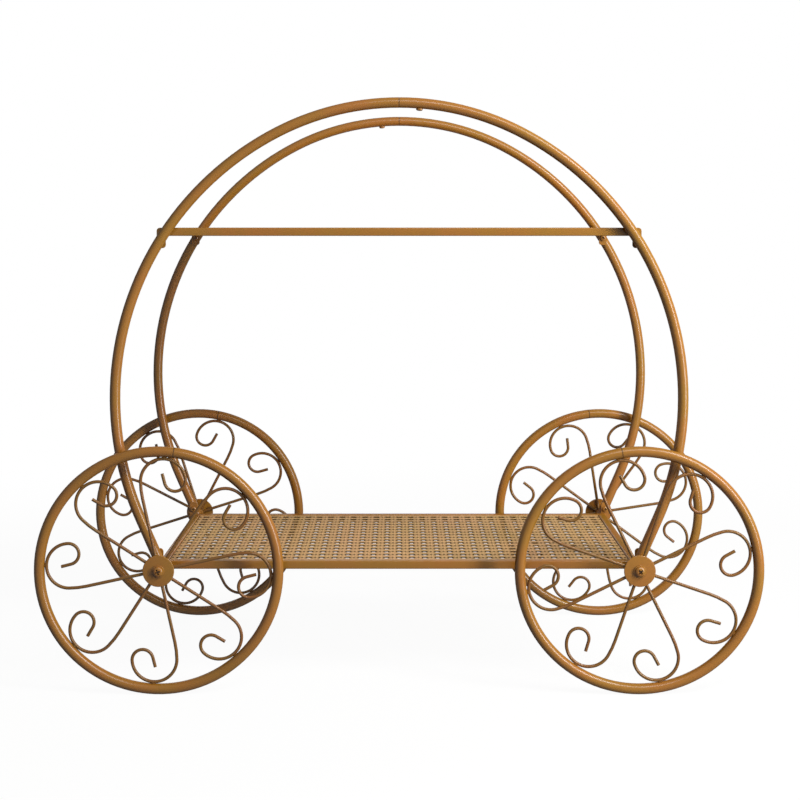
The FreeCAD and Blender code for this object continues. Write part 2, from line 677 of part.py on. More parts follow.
def scroll_spoke():
    """One spoke: a radial wire that ends in a scroll, bending clockwise seen from outside."""
    moves = (
        ("run", "Derived.spoke_run"),
        ("right", "Sizes.scroll_lead_radius", "Sizes.scroll_lead_turn"),
        ("right", "Sizes.scroll_loop_radius", "Sizes.scroll_loop_turn"),
        ("right", "Sizes.scroll_curl_radius", "Sizes.scroll_curl_turn"),
        ("run", "Sizes.scroll_tip"),
    )
    return swept("scroll_spoke", "spoke_section", "spoke_bends", ("Sizes.spoke_wire",), ("0", "0"),
                 (("Derived.spoke_start", "0"), 0, moves), "Derived.spoke_start", "XY_Plane")


def wheel(corner, side, face, spoke):
    """Rim, spokes, hub disc and bush of one wheel, each a node of its own."""
    name = f"wheel_{corner}"
    base = (f"{side} * Derived.hub_x", f"{face} * Derived.hoop_y", "Derived.axle_z")
    rim_base = (base[0], f"{face} * (Derived.hoop_y + Derived.spoke_plane)", base[2])

    rings = []
    for part, radius in (("tube", "Sizes.rim_tube / 2"), ("bore", "Sizes.rim_tube / 2 - Sizes.rim_wall")):
        ring = doc.addObject("Part::Torus", f"{name}_rim_{part}")
        ring.setExpression("Radius1", "Derived.rim_radius")
        ring.setExpression("Radius2", radius)
        rings.append(ring)
    rim = cut(f"{name}_rim", rings[0], rings[1:])
    keep(place(rim, rim_base, X_AXIS, outward(face)), f"{name}_rim")

    hub = ("0", "0", "0")
    turns = [f"Sizes.{corner}_phase + {number} * 360 / Sizes.spoke_count"
             for number in range(int(measure("Sizes.spoke_count")))]
    spokes = group(f"{name}_spokes", spoke, [(hub, Z_AXIS, turn) for turn in turns])
    place(spokes, rim_base, *wheel_turn(face))

    disc = turned_ring(f"{name}_disc", "Derived.axle_bore", "Sizes.hub_disc / 2", "Derived.bush_end",
                       "Derived.disc_face")
    keep(place(disc, base, X_AXIS, outward(face)), f"{name}_disc")
    bush = turned_ring(f"{name}_bush", "Derived.axle_bore", "Derived.bush_radius",
                       "Derived.boss_face + Sizes.axial_play", "Derived.bush_end")
    keep(place(bush, base, X_AXIS, outward(face)), f"{name}_bush")


def wheel_turn(face):
    """Axis and angle that stand a wheel upright with its outside facing out of the stand."""
    if face < 0:
        return X_AXIS, "90"
    return FreeCAD.Vector(0, 1, 1), "180"


def check(features):
    """Stop if any object failed or any piece has no sound shape."""
    for item in doc.Objects:
        if "Invalid" in item.State or "Error" in item.State:
            raise RuntimeError(f"{item.Name} failed: {item.State}")
    for item in features:
        if item.Shape.isNull() or not item.Shape.isValid() or not item.Shape.Solids:
            raise RuntimeError(f"{item.Label} has no sound solid")


def main():
    """Build every piece, check the document and write one file for each node."""
    for _, side, face in CORNERS:
        hoop_half(side, face)
    crown_joints()
    leg_plugs()
    tray("deck", 1)
    tray("shelf", -1)
    axle_pieces()
    spoke = scroll_spoke()
    doc.recompute()
    for corner, side, face in CORNERS:
        wheel(corner, side, face, spoke)
    doc.recompute()
    check(nodes)
    os.makedirs("parts", exist_ok=True)
    for item in nodes:
        item.Shape.exportStep(f"parts/{item.Label}.step")
        print(f"{item.Label}: {len(item.Shape.Solids)} solids, {item.Shape.Volume:.1f} mm3")


main()
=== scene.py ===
"""Carriage-shaped display stand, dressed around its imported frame.

Two round-tube hoops, four scroll-spoked wheels, a perforated deck and a like shelf, all in
antique gold powder coat. The stand's size fields are in millimetres and Blender's meshes in
metres, +Z is up and the stand's front faces -Y.
"""

import json
import logging
import math
from dataclasses import dataclass, field
from enum import Enum
from typing import ClassVar, Iterable, Sequence

import bmesh
import bpy
from bpy.types import Material, Mesh, Node, NodeOutputs, NodeSocket, NodeTree, Object
from mathutils import Matrix, Vector


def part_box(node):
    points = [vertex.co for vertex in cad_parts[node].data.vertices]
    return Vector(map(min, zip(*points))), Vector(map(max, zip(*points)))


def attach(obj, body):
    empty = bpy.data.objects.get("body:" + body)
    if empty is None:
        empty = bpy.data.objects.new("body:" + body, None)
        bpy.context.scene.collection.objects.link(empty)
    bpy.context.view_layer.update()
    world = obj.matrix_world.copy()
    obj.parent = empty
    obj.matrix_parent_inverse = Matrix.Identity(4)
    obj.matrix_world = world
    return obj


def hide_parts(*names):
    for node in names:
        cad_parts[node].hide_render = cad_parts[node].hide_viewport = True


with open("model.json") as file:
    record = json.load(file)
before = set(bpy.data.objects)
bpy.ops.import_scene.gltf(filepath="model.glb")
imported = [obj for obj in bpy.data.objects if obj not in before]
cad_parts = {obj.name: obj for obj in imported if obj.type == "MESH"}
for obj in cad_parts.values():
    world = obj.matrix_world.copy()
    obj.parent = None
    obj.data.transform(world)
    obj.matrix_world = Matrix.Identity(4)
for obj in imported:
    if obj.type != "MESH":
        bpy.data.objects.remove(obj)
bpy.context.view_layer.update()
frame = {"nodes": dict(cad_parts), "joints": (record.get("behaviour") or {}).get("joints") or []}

MM = 0.001
WHITE = (1.0, 1.0, 1.0, 1.0)
Pair = tuple[float, float]
Triple = tuple[float, float, float]
log = logging.getLogger("carriage_stand")


class Named(Enum):
    """A choice whose name goes into the names of pieces."""

    @property
    def word(self) -> str:
        """Plain word for names."""
        return self.name.lower()


class Face(Named):
    """Front or back of the stand, as a sign along Y."""

    FRONT = -1
    BACK = 1


class Side(Named):
    """Left or right of the stand seen from the front, as a sign along X."""

    LEFT = -1
    RIGHT = 1


class Tier(Named):
    """The two trays, with the way that their corner tabs point."""

    DECK = 1
    SHELF = -1


class Slot(Enum):
    """Material slots of the record."""

    TUBE = "gold_tube"
    WIRE = "gold_wire"
    SHEET = "gold_sheet"
    SCREW = "gold_screw"
    ZINC = "zinc_steel"
    PLASTIC = "brown_plastic"


# The stand's corners, the front ones first
CORNERS = [(face, side) for face in Face for side in Side]


# Node trees


def add_node(tree: NodeTree, kind: str, links: dict | None = None, **settings) -> Node:
    """Add a node, set its properties and fill its input sockets.

    Args:
        tree: Tree that takes the node.
        kind: Blender's identifier of the node.
        links: Input name or number to a value, or to the output socket that feeds it.
        **settings: Properties of the node itself.

    Returns:
        The new node.
    """
    node = tree.nodes.new(kind)
    for name, value in settings.items():
        setattr(node, name, value)
    for key, value in (links or {}).items():
        if isinstance(value, NodeSocket):
            tree.links.new(value, node.inputs[key])
        else:
            node.inputs[key].default_value = value
    return node


# Input and output numbers of a Mix node that mixes colours
MIX_FACTOR, MIX_A, MIX_B, MIX_COLOUR = 0, 6, 7, 2
# Metres from band to band of a wave texture of scale 1
WAVE_BAND = 2 * math.pi / 20


def linear(code: str) -> tuple[float, float, float, float]:
    """Turn an sRGB hex value into a linear colour.

    Args:
        code: Colour as "#RRGGBB".

    Returns:
        Red, green, blue and an alpha of 1.
    """
    channels = [int(code[start:start + 2], 16) / 255 for start in (1, 3, 5)]
    red, green, blue = (c / 12.92 if c <= 0.04045 else ((c + 0.055) / 1.055) ** 2.4 for c in channels)
    return red, green, blue, 1.0


def new_shader(name: str) -> tuple[Material, NodeTree]:
    """Make a material with an empty node tree.

    Args:
        name: Name of the material.

    Returns:
        The material and its tree.
    """
    made = bpy.data.materials.new(name)
    made.use_nodes = True
    made.node_tree.nodes.clear()
    return made, made.node_tree


# Finishes


@dataclass(frozen=True)
class Finish:
    """A finish for one slot of the record, with a pattern that follows Object coordinates."""

    name: str
    slot: Slot

    def material(self) -> Material:
        """Build the finish around one shader.

        Returns:
            The material.
        """
        made, tree = new_shader(self.name)
        spot = add_node(tree, "ShaderNodeTexCoord").outputs["Object"]
        shader = add_node(tree, "ShaderNodeBsdfPrincipled", self.sockets(tree, spot))
        add_node(tree, "ShaderNodeOutputMaterial", {"Surface": shader.outputs["BSDF"]})
        return made

    def sockets(self, tree: NodeTree, spot: NodeSocket) -> dict[str, object]:
        """Build the nodes of the finish's own pattern.

        Args:
            tree: Tree of the material.
            spot: Object coordinate.

        Returns:
            The shader's inputs, each a value or the socket that feeds it.
        """
        raise NotImplementedError


@dataclass(frozen=True)
class PowderCoat(Finish):
    """Antique gold powder coat on steel, sprayed and baked.

    A basecoat full of gold mica under a thin clear film: satin, with the soft ripple of baked
    powder, drifts between olive and copper gold, and painted shade in seam grooves, recesses and
    round punched holes. Where the coat is partly metallic, its gleam is brown at a slant.
    """

    olive: str = "#89601E"
    copper: str = "#915C24"
    slant: str = "#2E1806"
    settled: str = "#2A1808"
    metallic: float = 0.0
    roughness: float = 0.26
    roughness_swing: float = 0.04
    film: float = 0.11
    film_ior: float = 3.0
    film_roughness: float = 0.25
    strand_mm: float = 0.0
    weft_mm: float = 16.0
    strand_shade: float = 0.3
    strand_span: Pair = (0.25, 0.75)
    drift_mm: float = 60.0
    drift_span: Pair = (0.3, 0.7)
    ripple_mm: float = 2.4
    ripple_depth_mm: float = 0.001
    grain_mm: float = 0.9
    grain_span: Pair = (0.25, 0.75)
    glint: float = 0.08

    def sockets(self, tree: NodeTree, spot: NodeSocket) -> dict[str, object]:
        """Build the drifts, the mica's grain, the painted shade and the ripple.

        Args:
            tree: Tree of the material.
            spot: Object coordinate.

        Returns:
            The shader's inputs.
        """
        # Size, detail and roughness of each noise. The mica is finer than a pixel, so its grain
        # is drawn as coarse as it needs to show
        noises = ((self.drift_mm, 2.0, 0.55), (self.grain_mm, 2.0, 0.7), (self.ripple_mm, 1.0, 0.4))
        drift, grain, ripple = [add_node(tree, "ShaderNodeTexNoise", {
            "Vector": spot, "Scale": 1 / (size * MM), "Detail": detail, "Roughness": rough}).outputs["Fac"]
            for size, detail, rough in noises]
        spread = add_node(tree, "ShaderNodeMapRange", {
            "Value": drift, "From Min": self.drift_span[0], "From Max": self.drift_span[1]})
        gold = add_node(tree, "ShaderNodeMix", {
            MIX_FACTOR: spread.outputs["Result"], MIX_A: linear(self.olive), MIX_B: linear(self.copper)},
            data_type="RGBA")
        # The grain varies the colour's brightness, partly the mica's own speckle and partly painted glints,
        # and the gloss, each by its swing
        swings = ((1.0, self.glint), (self.roughness, self.roughness_swing / 2))
        glint, satin = [add_node(tree, "ShaderNodeMapRange", {
            "Value": grain, "From Min": self.grain_span[0], "From Max": self.grain_span[1],
            "To Min": middle - swing, "To Max": middle + swing}).outputs["Result"]
            for middle, swing in swings]
        speckled = add_node(tree, "ShaderNodeVectorMath", {0: gold.outputs[MIX_COLOUR], "Scale": glint},
                            operation="SCALE")
        # Painted shade from the mesh's attribute, darkest in seam grooves, screw recesses and round the
        # punched holes
        joint = add_node(tree, "ShaderNodeAttribute", attribute_name="patina", attribute_type="GEOMETRY")
        shaded = add_node(tree, "ShaderNodeMix", {
            MIX_FACTOR: joint.outputs["Fac"], MIX_A: speckled.outputs["Vector"], MIX_B: linear(self.settled)},
            data_type="RGBA")
        relief = add_node(tree, "ShaderNodeBump", {
            "Height": ripple, "Strength": 1.0, "Distance": self.ripple_depth_mm * MM})
        return {
            "Base Color": self.stranded(tree, spot, shaded.outputs[MIX_COLOUR]), "Metallic": self.metallic,
            "Roughness": satin, "Specular IOR Level": 0.0, "Specular Tint": linear(self.slant),
            "Coat Weight": self.film, "Coat IOR": self.film_ior, "Coat Roughness": self.film_roughness,
            "Normal": relief.outputs["Normal"]}

    def stranded(self, tree: NodeTree, spot: NodeSocket, colour: NodeSocket) -> NodeSocket:
        """Darken the stamped dashes between the strands of a cane pattern.

        Args:
            tree: Tree of the paint.
            spot: Object coordinate.
            colour: Colour without dashes.

        Returns:
            The dashed colour, or the same socket where the paint has no strands.
        """
        if not self.strand_mm:
            return colour
        bands = [add_node(tree, "ShaderNodeTexWave", {"Vector": spot, "Scale": WAVE_BAND / (pitch * MM)},
                          bands_direction=way).outputs["Fac"]
                 for way, pitch in (("X", self.strand_mm), ("Y", self.weft_mm))]
        dash = add_node(tree, "ShaderNodeMath", {0: bands[0], 1: bands[1]}, operation="MULTIPLY")
        shade = add_node(tree, "ShaderNodeMapRange", {
            "Value": dash.outputs[0], "From Min": self.strand_span[0], "From Max": self.strand_span[1],
            "To Min": 1.0, "To Max": self.strand_shade})
        return add_node(tree, "ShaderNodeVectorMath", {0: colour, "Scale": shade.outputs["Result"]},
                        operation="SCALE").outputs["Vector"]


@dataclass(frozen=True)
class ZincPlate(Finish):
    """Bright zinc plate on turned steel, with fine lathe rings and a bluish cast."""

    name: str = "zinc_plated_steel"
    slot: Slot = Slot.ZINC
    bright: str = "#C4C6C4"
    dull: str = "#9FA2A3"
    roughness: float = 0.32
    bloom_mm: float = 3.0
    ring_mm: float = 0.6
    ring_depth_mm: float = 0.02
    ring_strength: float = 0.3

    def sockets(self, tree: NodeTree, spot: NodeSocket) -> dict[str, object]:
        """Build the plating's bloom and its lathe rings.

        Args:
            tree: Tree of the material.
            spot: Object coordinate.

        Returns:
            The shader's inputs.
        """
        bloom = add_node(tree, "ShaderNodeTexNoise", {
            "Vector": spot, "Scale": 1 / (self.bloom_mm * MM), "Detail": 3.0})
        tone = add_node(tree, "ShaderNodeMix", {
            MIX_FACTOR: bloom.outputs["Fac"], MIX_A: linear(self.bright), MIX_B: linear(self.dull)},
            data_type="RGBA")
        rings = add_node(tree, "ShaderNodeTexWave", {
            "Vector": spot, "Scale": WAVE_BAND / (self.ring_mm * MM), "Distortion": 1.0}, bands_direction="Y")
        relief = add_node(tree, "ShaderNodeBump", {
            "Height": rings.outputs["Fac"], "Strength": self.ring_strength,
            "Distance": self.ring_depth_mm * MM})
        return {"Base Color": tone.outputs[MIX_COLOUR], "Metallic": 1.0, "Roughness": self.roughness,
                "Normal": relief.outputs["Normal"]}


@dataclass(frozen=True)
class MouldedPlastic(Finish):
    """Brown polyethylene, moulded, with a waxy matt skin."""

    name: str = "moulded_brown_plastic"
    slot: Slot = Slot.PLASTIC
    dark: str = "#4A3018"
    pale: str = "#5C3E20"
    roughness: float = 0.55
    ior: float = 1.51
    skin_mm: float = 1.2
    skin_depth_mm: float = 0.03
    skin_strength: float = 0.5

    def sockets(self, tree: NodeTree, spot: NodeSocket) -> dict[str, object]:
        """Build the skin's mottle and its relief.

        Args:
            tree: Tree of the material.
            spot: Object coordinate.

        Returns:
            The shader's inputs.
        """
        skin = add_node(tree, "ShaderNodeTexNoise", {
            "Vector": spot, "Scale": 1 / (self.skin_mm * MM), "Detail": 3.0})
        tone = add_node(tree, "ShaderNodeMix", {
            MIX_FACTOR: skin.outputs["Fac"], MIX_A: linear(self.dark), MIX_B: linear(self.pale)},
            data_type="RGBA")
        relief = add_node(tree, "ShaderNodeBump", {
            "Height": skin.outputs["Fac"], "Strength": self.skin_strength,
            "Distance": self.skin_depth_mm * MM})
        return {"Base Color": tone.outputs[MIX_COLOUR], "Roughness": self.roughness, "IOR": self.ior,
                "Normal": relief.outputs["Normal"]}


TUBE_COAT = PowderCoat("antique_gold_coat_on_tube", Slot.TUBE)
# The wire's paint is the tube's coat drawn darker, painted shade for the thin wires
WIRE_COAT = PowderCoat("antique_gold_coat_on_wire", Slot.WIRE, olive="#6C4C16", copper="#74481C",
                       drift_mm=40.0, ripple_mm=1.2)
# The sheet's paint is the tube's coat drawn paler and greyer, a painted sheen of the bright room at a slant,
# with stronger painted glints
SHEET_COAT = PowderCoat("antique_gold_coat_on_sheet", Slot.SHEET, olive="#C8A46C", copper="#D0A474",
                        metallic=0.15, roughness=0.5, film=0.02, drift_mm=90.0,
                        strand_mm=16 / 3, grain_mm=2.4, glint=0.45)
SCREW_COAT = PowderCoat("antique_gold_coat_on_screws", Slot.SCREW, roughness=0.30, drift_mm=12.0,
                        ripple_mm=0.8)
ZINC = ZincPlate()
PLASTIC = MouldedPlastic()

_materials: dict[str, Material] = {}


def material_of(finish: Finish) -> Material:
    """Look up a finish's material, built on its first use.

    Args:
        finish: The finish.

    Returns:
        Its one material.
    """
    if finish.name not in _materials:
        _materials[finish.name] = finish.material()
    return _materials[finish.name]


# Shapes


def round_corners(corners: Sequence[Pair], radii: Sequence[float], steps: int = 4) -> list[Pair]:
    """Round the corners of a closed outline with arcs.

    Args:
        corners: Outline's corners in order.
        radii: Rounding of each corner, 0 for a sharp one.
        steps: Edges in each arc.

    Returns:
        The rounded outline's points.
    """
    points = []
    for number, radius in enumerate(radii):
        here = Vector(corners[number])
        if not radius:
            points.append(tuple(here))
            continue
        back = (Vector(corners[number - 1]) - here).normalized()
        ahead = (Vector(corners[(number + 1) % len(corners)]) - here).normalized()
        half = back.angle(ahead) / 2
        middle = here + (back + ahead).normalized() * (radius / math.sin(half))
        first = here + back * (radius / math.tan(half)) - middle
        last = here + ahead * (radius / math.tan(half)) - middle
        turn = math.atan2(first.x * last.y - first.y * last.x, first.dot(last))
        for step in range(steps + 1):
            angle = turn * step / steps
            across = first.x * math.cos(angle) - first.y * math.sin(angle)
            up = first.x * math.sin(angle) + first.y * math.cos(angle)
            points.append((middle.x + across, middle.y + up))
    return points


@dataclass(frozen=True)
class Run:
    """A straight stretch of a bent tube."""

    length: float


@dataclass(frozen=True)
class Bend:
    """A tangent bend of a tube, with its turn in degrees, negative to the right."""

    radius: float
    turn: float


def bent_line(start: Pair, heading: float, moves: Iterable[Run | Bend], step: float) -> list[Pair]:
    """Follow straight runs and tangent bends, as a tube bender does.

    Args:
        start: First point.
        heading: First direction in degrees.
        moves: Runs and bends in order.
        step: Largest turn between two points in degrees.

    Returns:
        Points of the line.
    """
    points = [start]
    for move in moves:
        across, up = points[-1]
        angle = math.radians(heading)
        if isinstance(move, Run):
            points.append((across + move.length * math.cos(angle), up + move.length * math.sin(angle)))
            continue
        arm = math.copysign(move.radius, move.turn)
        middle = (across - arm * math.sin(angle), up + arm * math.cos(angle))
        count = math.ceil(abs(move.turn) / step)
        for number in range(1, count + 1):
            now = angle + math.radians(move.turn) * number / count
            points.append((middle[0] + arm * math.sin(now), middle[1] - arm * math.cos(now)))
        heading += move.turn
    return points


def smooth_mesh(mesh: Mesh, sharp: float = 35.0) -> Mesh:
    """Shade a mesh smooth, apart from its sharp edges.

    Args:
        mesh: Mesh to shade.
        sharp: Angle in degrees from which an edge stays sharp.

    Returns:
        The same mesh.
    """
    mesh.shade_smooth()
    mesh.set_sharp_from_angle(angle=math.radians(sharp))
    return mesh


def closed_mesh(name: str, points: Sequence[Sequence[float]], faces: Sequence[Sequence[int]],
                matrix: Matrix | None = None) -> Mesh:
    """Make a closed shell in metres from points in millimetres, with its faces outwards.

    Args:
        name: Name of the mesh.
        points: Corners in millimetres.
        faces: Corner numbers of each face.
        matrix: Place of the shell in millimetres, the origin if left out.

    Returns:
        The mesh.
    """
    form = bmesh.new()
    corners = [form.verts.new(matrix @ Vector(p) if matrix else Vector(p)) for p in points]
    for face in faces:
        form.faces.new([corners[number] for number in face])
    bmesh.ops.recalc_face_normals(form, faces=form.faces)
    bmesh.ops.scale(form, vec=(MM, MM, MM), verts=form.verts)
    mesh = bpy.data.meshes.new(name)
    form.to_mesh(mesh)
    form.free()
    return smooth_mesh(mesh)


def band_faces(rings: int, around: int, first: int = 0, closed: bool = False) -> list[tuple[int, ...]]:
    """Join rings of points, one after the other, by bands of four-cornered faces.

    Args:
        rings: Number of rings.
        around: Points in each ring.
        first: Number of the first ring's first point.
        closed: Whether the last ring joins the first.

    Returns:
        Corner numbers of the faces.
    """
    faces = []
    for ring in range(rings if closed else rings - 1):
        low = first + ring * around
        high = first + (ring + 1) % rings * around
        for number in range(around):
            after = (number + 1) % around
            faces.append((low + number, low + after, high + after, high + number))
    return faces


def fan_faces(first: int, around: int, tip: int) -> list[tuple[int, ...]]:
    """Join a ring of points to the tip that closes it, by numbers of points."""
    return [(first + number, first + (number + 1) % around, tip) for number in range(around)]


def capped_faces(rings: int, around: int) -> list[tuple[int, ...]]:
    """Join rings of points by bands, and close the first and the last ring."""
    last = (rings - 1) * around
    return [tuple(range(around)), tuple(range(last, last + around)), *band_faces(rings, around)]


def circle(radius: float, height: float, count: int, turn: float = 0.0) -> list[Triple]:
    """Place points round the Z axis, the first of them at a turn in radians."""
    angles = [2 * math.pi * number / count + turn for number in range(count)]
    return [(radius * math.cos(angle), radius * math.sin(angle), height) for angle in angles]


def turned_mesh(name: str, profile: Sequence[Pair], matrix: Matrix | None = None, around: int = 48) -> Mesh:
    """Turn a closed outline of (radius, height) points about its Z axis.

    Args:
        name: Name of the mesh.
        profile: Outline in millimetres. Points on the axis come first and last, if any do.
        matrix: Place of the piece in millimetres.
        around: Edges round the axis.

    Returns:
        The mesh.
    """
    solid = profile[0][0] == 0
    rings = profile[1:-1] if solid else profile
    points = [point for radius, height in rings for point in circle(radius, height, around)]
    faces = band_faces(len(rings), around, closed=not solid)
    if solid:
        count = len(points)
        points += [(0, 0, profile[0][1]), (0, 0, profile[-1][1])]
        faces += fan_faces(0, around, count) + fan_faces(count - around, around, count + 1)
    return closed_mesh(name, points, faces, matrix)


def prism_mesh(name: str, outline: Sequence[Pair], depth: float, ease: float) -> Mesh:
    """Extrude an outline along Z, with its long edges eased.

    Args:
        name: Name of the mesh.
        outline: Closed outline in millimetres.
        depth: Thickness, from z = 0 up.
        ease: Size of the small chamfer at both faces.

    Returns:
        The mesh.
    """
    middle = sum((Vector(p) for p in outline), Vector((0, 0))) / len(outline)
    levels = ((0, ease), (ease, 0), (depth - ease, 0), (depth, ease))
    points = []
    for height, inset in levels:
        for corner in outline:
            arm = Vector(corner) - middle
            arm *= 1 - inset / arm.length
            points.append((*(middle + arm), height))
    return closed_mesh(name, points, capped_faces(len(levels), len(outline)))


def line_mesh(name: str, points: Sequence[Triple], swell: Sequence[float], patina: Sequence[float],
              ring: bool = False) -> Mesh:
    """Make a line of edges that a tube is swept along.

    Args:
        name: Name of the mesh.
        points: Points in millimetres.
        swell: Share of the tube's radius at each point.
        patina: Painted shade at each point, from 0 to 1.
        ring: Whether the last point joins the first.

    Returns:
        The mesh, with its swell and painted shade as attributes.
    """
    mesh = bpy.data.meshes.new(name)
    edges = [(number, number + 1) for number in range(len(points) - 1)]
    if ring:
        edges.append((len(points) - 1, 0))
    mesh.from_pydata([Vector(p) * MM for p in points], edges, [])
    for label, values in (("swell", swell), ("patina", patina)):
        mesh.attributes.new(label, "FLOAT", "POINT").data.foreach_set("value", list(values))
    return mesh


@dataclass(frozen=True)
class Seat:
    """A place for a repeated small piece: where, which way its top faces and how it is turned."""

    spot: Triple
    facing: Triple
    along: Triple


def seat_mesh(name: str, seats: Sequence[Seat]) -> Mesh:
    """Make points that carry the facing of what is set on them.

    Args:
        name: Name of the mesh.
        seats: Places in millimetres.

    Returns:
        The mesh of loose points.
    """
    mesh = bpy.data.meshes.new(name)
    mesh.from_pydata([Vector(seat.spot) * MM for seat in seats], [], [])
    for label in ("facing", "along"):
        flat = [value for seat in seats for value in getattr(seat, label)]
        mesh.attributes.new(label, "FLOAT_VECTOR", "POINT").data.foreach_set("vector", flat)
    return mesh


def new_object(name: str, mesh: Mesh) -> Object:
    """Put a mesh into the scene at the origin.

    Args:
        name: Name of the object.
        mesh: Its mesh.

    Returns:
        The object.
    """
    made = bpy.data.objects.new(name, mesh)
    bpy.context.scene.collection.objects.link(made)
    return made


def bake(thing: Object) -> Object:
    """Turn an object's modifiers into a plain mesh.

    Args:
        thing: Object with its modifiers set up.

    Returns:
        The same object, without modifiers.
    """
    graph = bpy.context.evaluated_depsgraph_get()
    mesh = bpy.data.meshes.new_from_object(thing.evaluated_get(graph), preserve_all_data_layers=True,
                                           depsgraph=graph)
    thing.modifiers.clear()
    thing.data = mesh
    mesh.name = thing.name
    smooth_mesh(mesh)
    return thing


# Geometry node recipes


class Recipe:
    """A geometry node tree with named inputs, which is set on a mesh and baked."""

    name: ClassVar[str]
    inputs: ClassVar[dict[str, str]]

    def __init__(self) -> None:
        """Build the tree with its inputs, up to the material that ends it."""
        self.tree = bpy.data.node_groups.new(self.name, "GeometryNodeTree")
        ends = self.tree.interface
        ends.new_socket("Geometry", in_out="INPUT", socket_type="NodeSocketGeometry")
        ends.new_socket("Geometry", in_out="OUTPUT", socket_type="NodeSocketGeometry")
        self.identifiers = {}
        for label, kind in {**self.inputs, "Finish": "NodeSocketMaterial"}.items():
            self.identifiers[label] = ends.new_socket(label, in_out="INPUT", socket_type=kind).identifier
        given = add_node(self.tree, "NodeGroupInput").outputs
        smooth = add_node(self.tree, "GeometryNodeSetShadeSmooth", {"Geometry": self.grow(given)})
        solid = add_node(self.tree, "GeometryNodeRealizeInstances", {"Geometry": smooth.outputs[0]})
        coated = add_node(self.tree, "GeometryNodeSetMaterial", {
            "Geometry": solid.outputs[0], "Material": given["Finish"]})
        add_node(self.tree, "NodeGroupOutput", {"Geometry": coated.outputs[0]})

    def grow(self, given: NodeOutputs) -> NodeSocket:
        """Build the recipe's own nodes.

        Args:
            given: Outputs of the group's input node.

        Returns:
            The socket with the grown geometry.
        """
        raise NotImplementedError

    def apply(self, name: str, source: Mesh, finish: Finish, **values) -> Object:
        """Set the recipe on a mesh.

        Args:
            name: Name of the new object.
            source: Mesh that the recipe starts from.
            finish: Finish of the result.
            **values: Inputs, with spaces written as underscores.

        Returns:
            The object, not yet baked.
        """
        thing = new_object(name, source)
        modifier = thing.modifiers.new(self.name, "NODES")
        modifier.node_group = self.tree
        modifier[self.identifiers["Finish"]] = material_of(finish)
        for label, value in values.items():
            modifier[self.identifiers[label.replace("_", " ")]] = value
        return thing

    def swept(self, line: NodeSocket, radius: NodeSocket, sides: NodeSocket) -> NodeSocket:
        """Sweep a round section along a line of edges, as thick as its swell says.

        Args:
            line: Geometry of the line.
            radius: Section's radius.
            sides: Section's edges.

        Returns:
            The socket with the capped tube.
        """
        swell = add_node(self.tree, "GeometryNodeInputNamedAttribute", {"Name": "swell"}, data_type="FLOAT")
        curve = add_node(self.tree, "GeometryNodeMeshToCurve", {"Mesh": line})
        sized = add_node(self.tree, "GeometryNodeSetCurveRadius", {
            "Curve": curve.outputs[0], "Radius": swell.outputs[0]})
        section = add_node(self.tree, "GeometryNodeCurvePrimitiveCircle", {
            "Resolution": sides, "Radius": radius}, mode="RADIUS")
        tube = add_node(self.tree, "GeometryNodeCurveToMesh", {
            "Curve": sized.outputs[0], "Profile Curve": section.outputs[0], "Fill Caps": True})
        return tube.outputs[0]


class BentTube(Recipe):
    """A round tube along one line."""

    name = "bent_tube"
    inputs = {"Tube Radius": "NodeSocketFloat", "Sides": "NodeSocketInt"}

    def grow(self, given: NodeOutputs) -> NodeSocket:
        """Sweep the tube."""
        return self.swept(given["Geometry"], given["Tube Radius"], given["Sides"])


class SpokeRing(Recipe):
    """One wire spoke, repeated round a hub that lies along Y."""

    name = "spoke_ring"
    inputs = {"Wire Radius": "NodeSocketFloat", "Sides": "NodeSocketInt", "Spokes": "NodeSocketInt",
              "First Angle": "NodeSocketFloat", "Angle Step": "NodeSocketFloat", "Hub": "NodeSocketVector"}

    def grow(self, given: NodeOutputs) -> NodeSocket:
        """Sweep one spoke and turn its copies about the hub.

        Args:
            given: Outputs of the group's input node.

        Returns:
            The socket with the spokes.
        """
        spoke = self.swept(given["Geometry"], given["Wire Radius"], given["Sides"])
        number = add_node(self.tree, "GeometryNodeInputIndex")
        angle = add_node(self.tree, "ShaderNodeMath", {
            0: number.outputs[0], 1: given["Angle Step"], 2: given["First Angle"]}, operation="MULTIPLY_ADD")
        about_y = add_node(self.tree, "ShaderNodeCombineXYZ", {"Y": angle.outputs[0]})
        turn = add_node(self.tree, "FunctionNodeEulerToRotation", {0: about_y.outputs[0]})
        hubs = add_node(self.tree, "GeometryNodePoints", {"Count": given["Spokes"], "Position": given["Hub"]})
        copies = add_node(self.tree, "GeometryNodeInstanceOnPoints", {
            "Points": hubs.outputs[0], "Instance": spoke, "Rotation": turn.outputs[0]})
        return copies.outputs[0]


class SeatedSet(Recipe):
    """Copies of a small piece, one on each seat."""

    name = "seated_set"
    inputs = {"Pattern": "NodeSocketObject"}

    def grow(self, given: NodeOutputs) -> NodeSocket:
        """Stand a copy of the pattern on every point, turned as the point says.

        Args:
            given: Outputs of the group's input node.

        Returns:
            The socket with the copies.
        """
        facing, along = [add_node(self.tree, "GeometryNodeInputNamedAttribute", {"Name": label},
                                  data_type="FLOAT_VECTOR").outputs[0] for label in ("facing", "along")]
        stood = add_node(self.tree, "FunctionNodeAlignRotationToVector", {"Vector": facing}, axis="Z")
        turned = add_node(self.tree, "FunctionNodeAlignRotationToVector", {
            "Rotation": stood.outputs[0], "Vector": along}, axis="X", pivot_axis="Z")
        pattern = add_node(self.tree, "GeometryNodeObjectInfo", {"Object": given["Pattern"]})
        copies = add_node(self.tree, "GeometryNodeInstanceOnPoints", {
            "Points": given["Geometry"], "Instance": pattern.outputs["Geometry"],
            "Rotation": turned.outputs[0]})
        return copies.outputs[0]


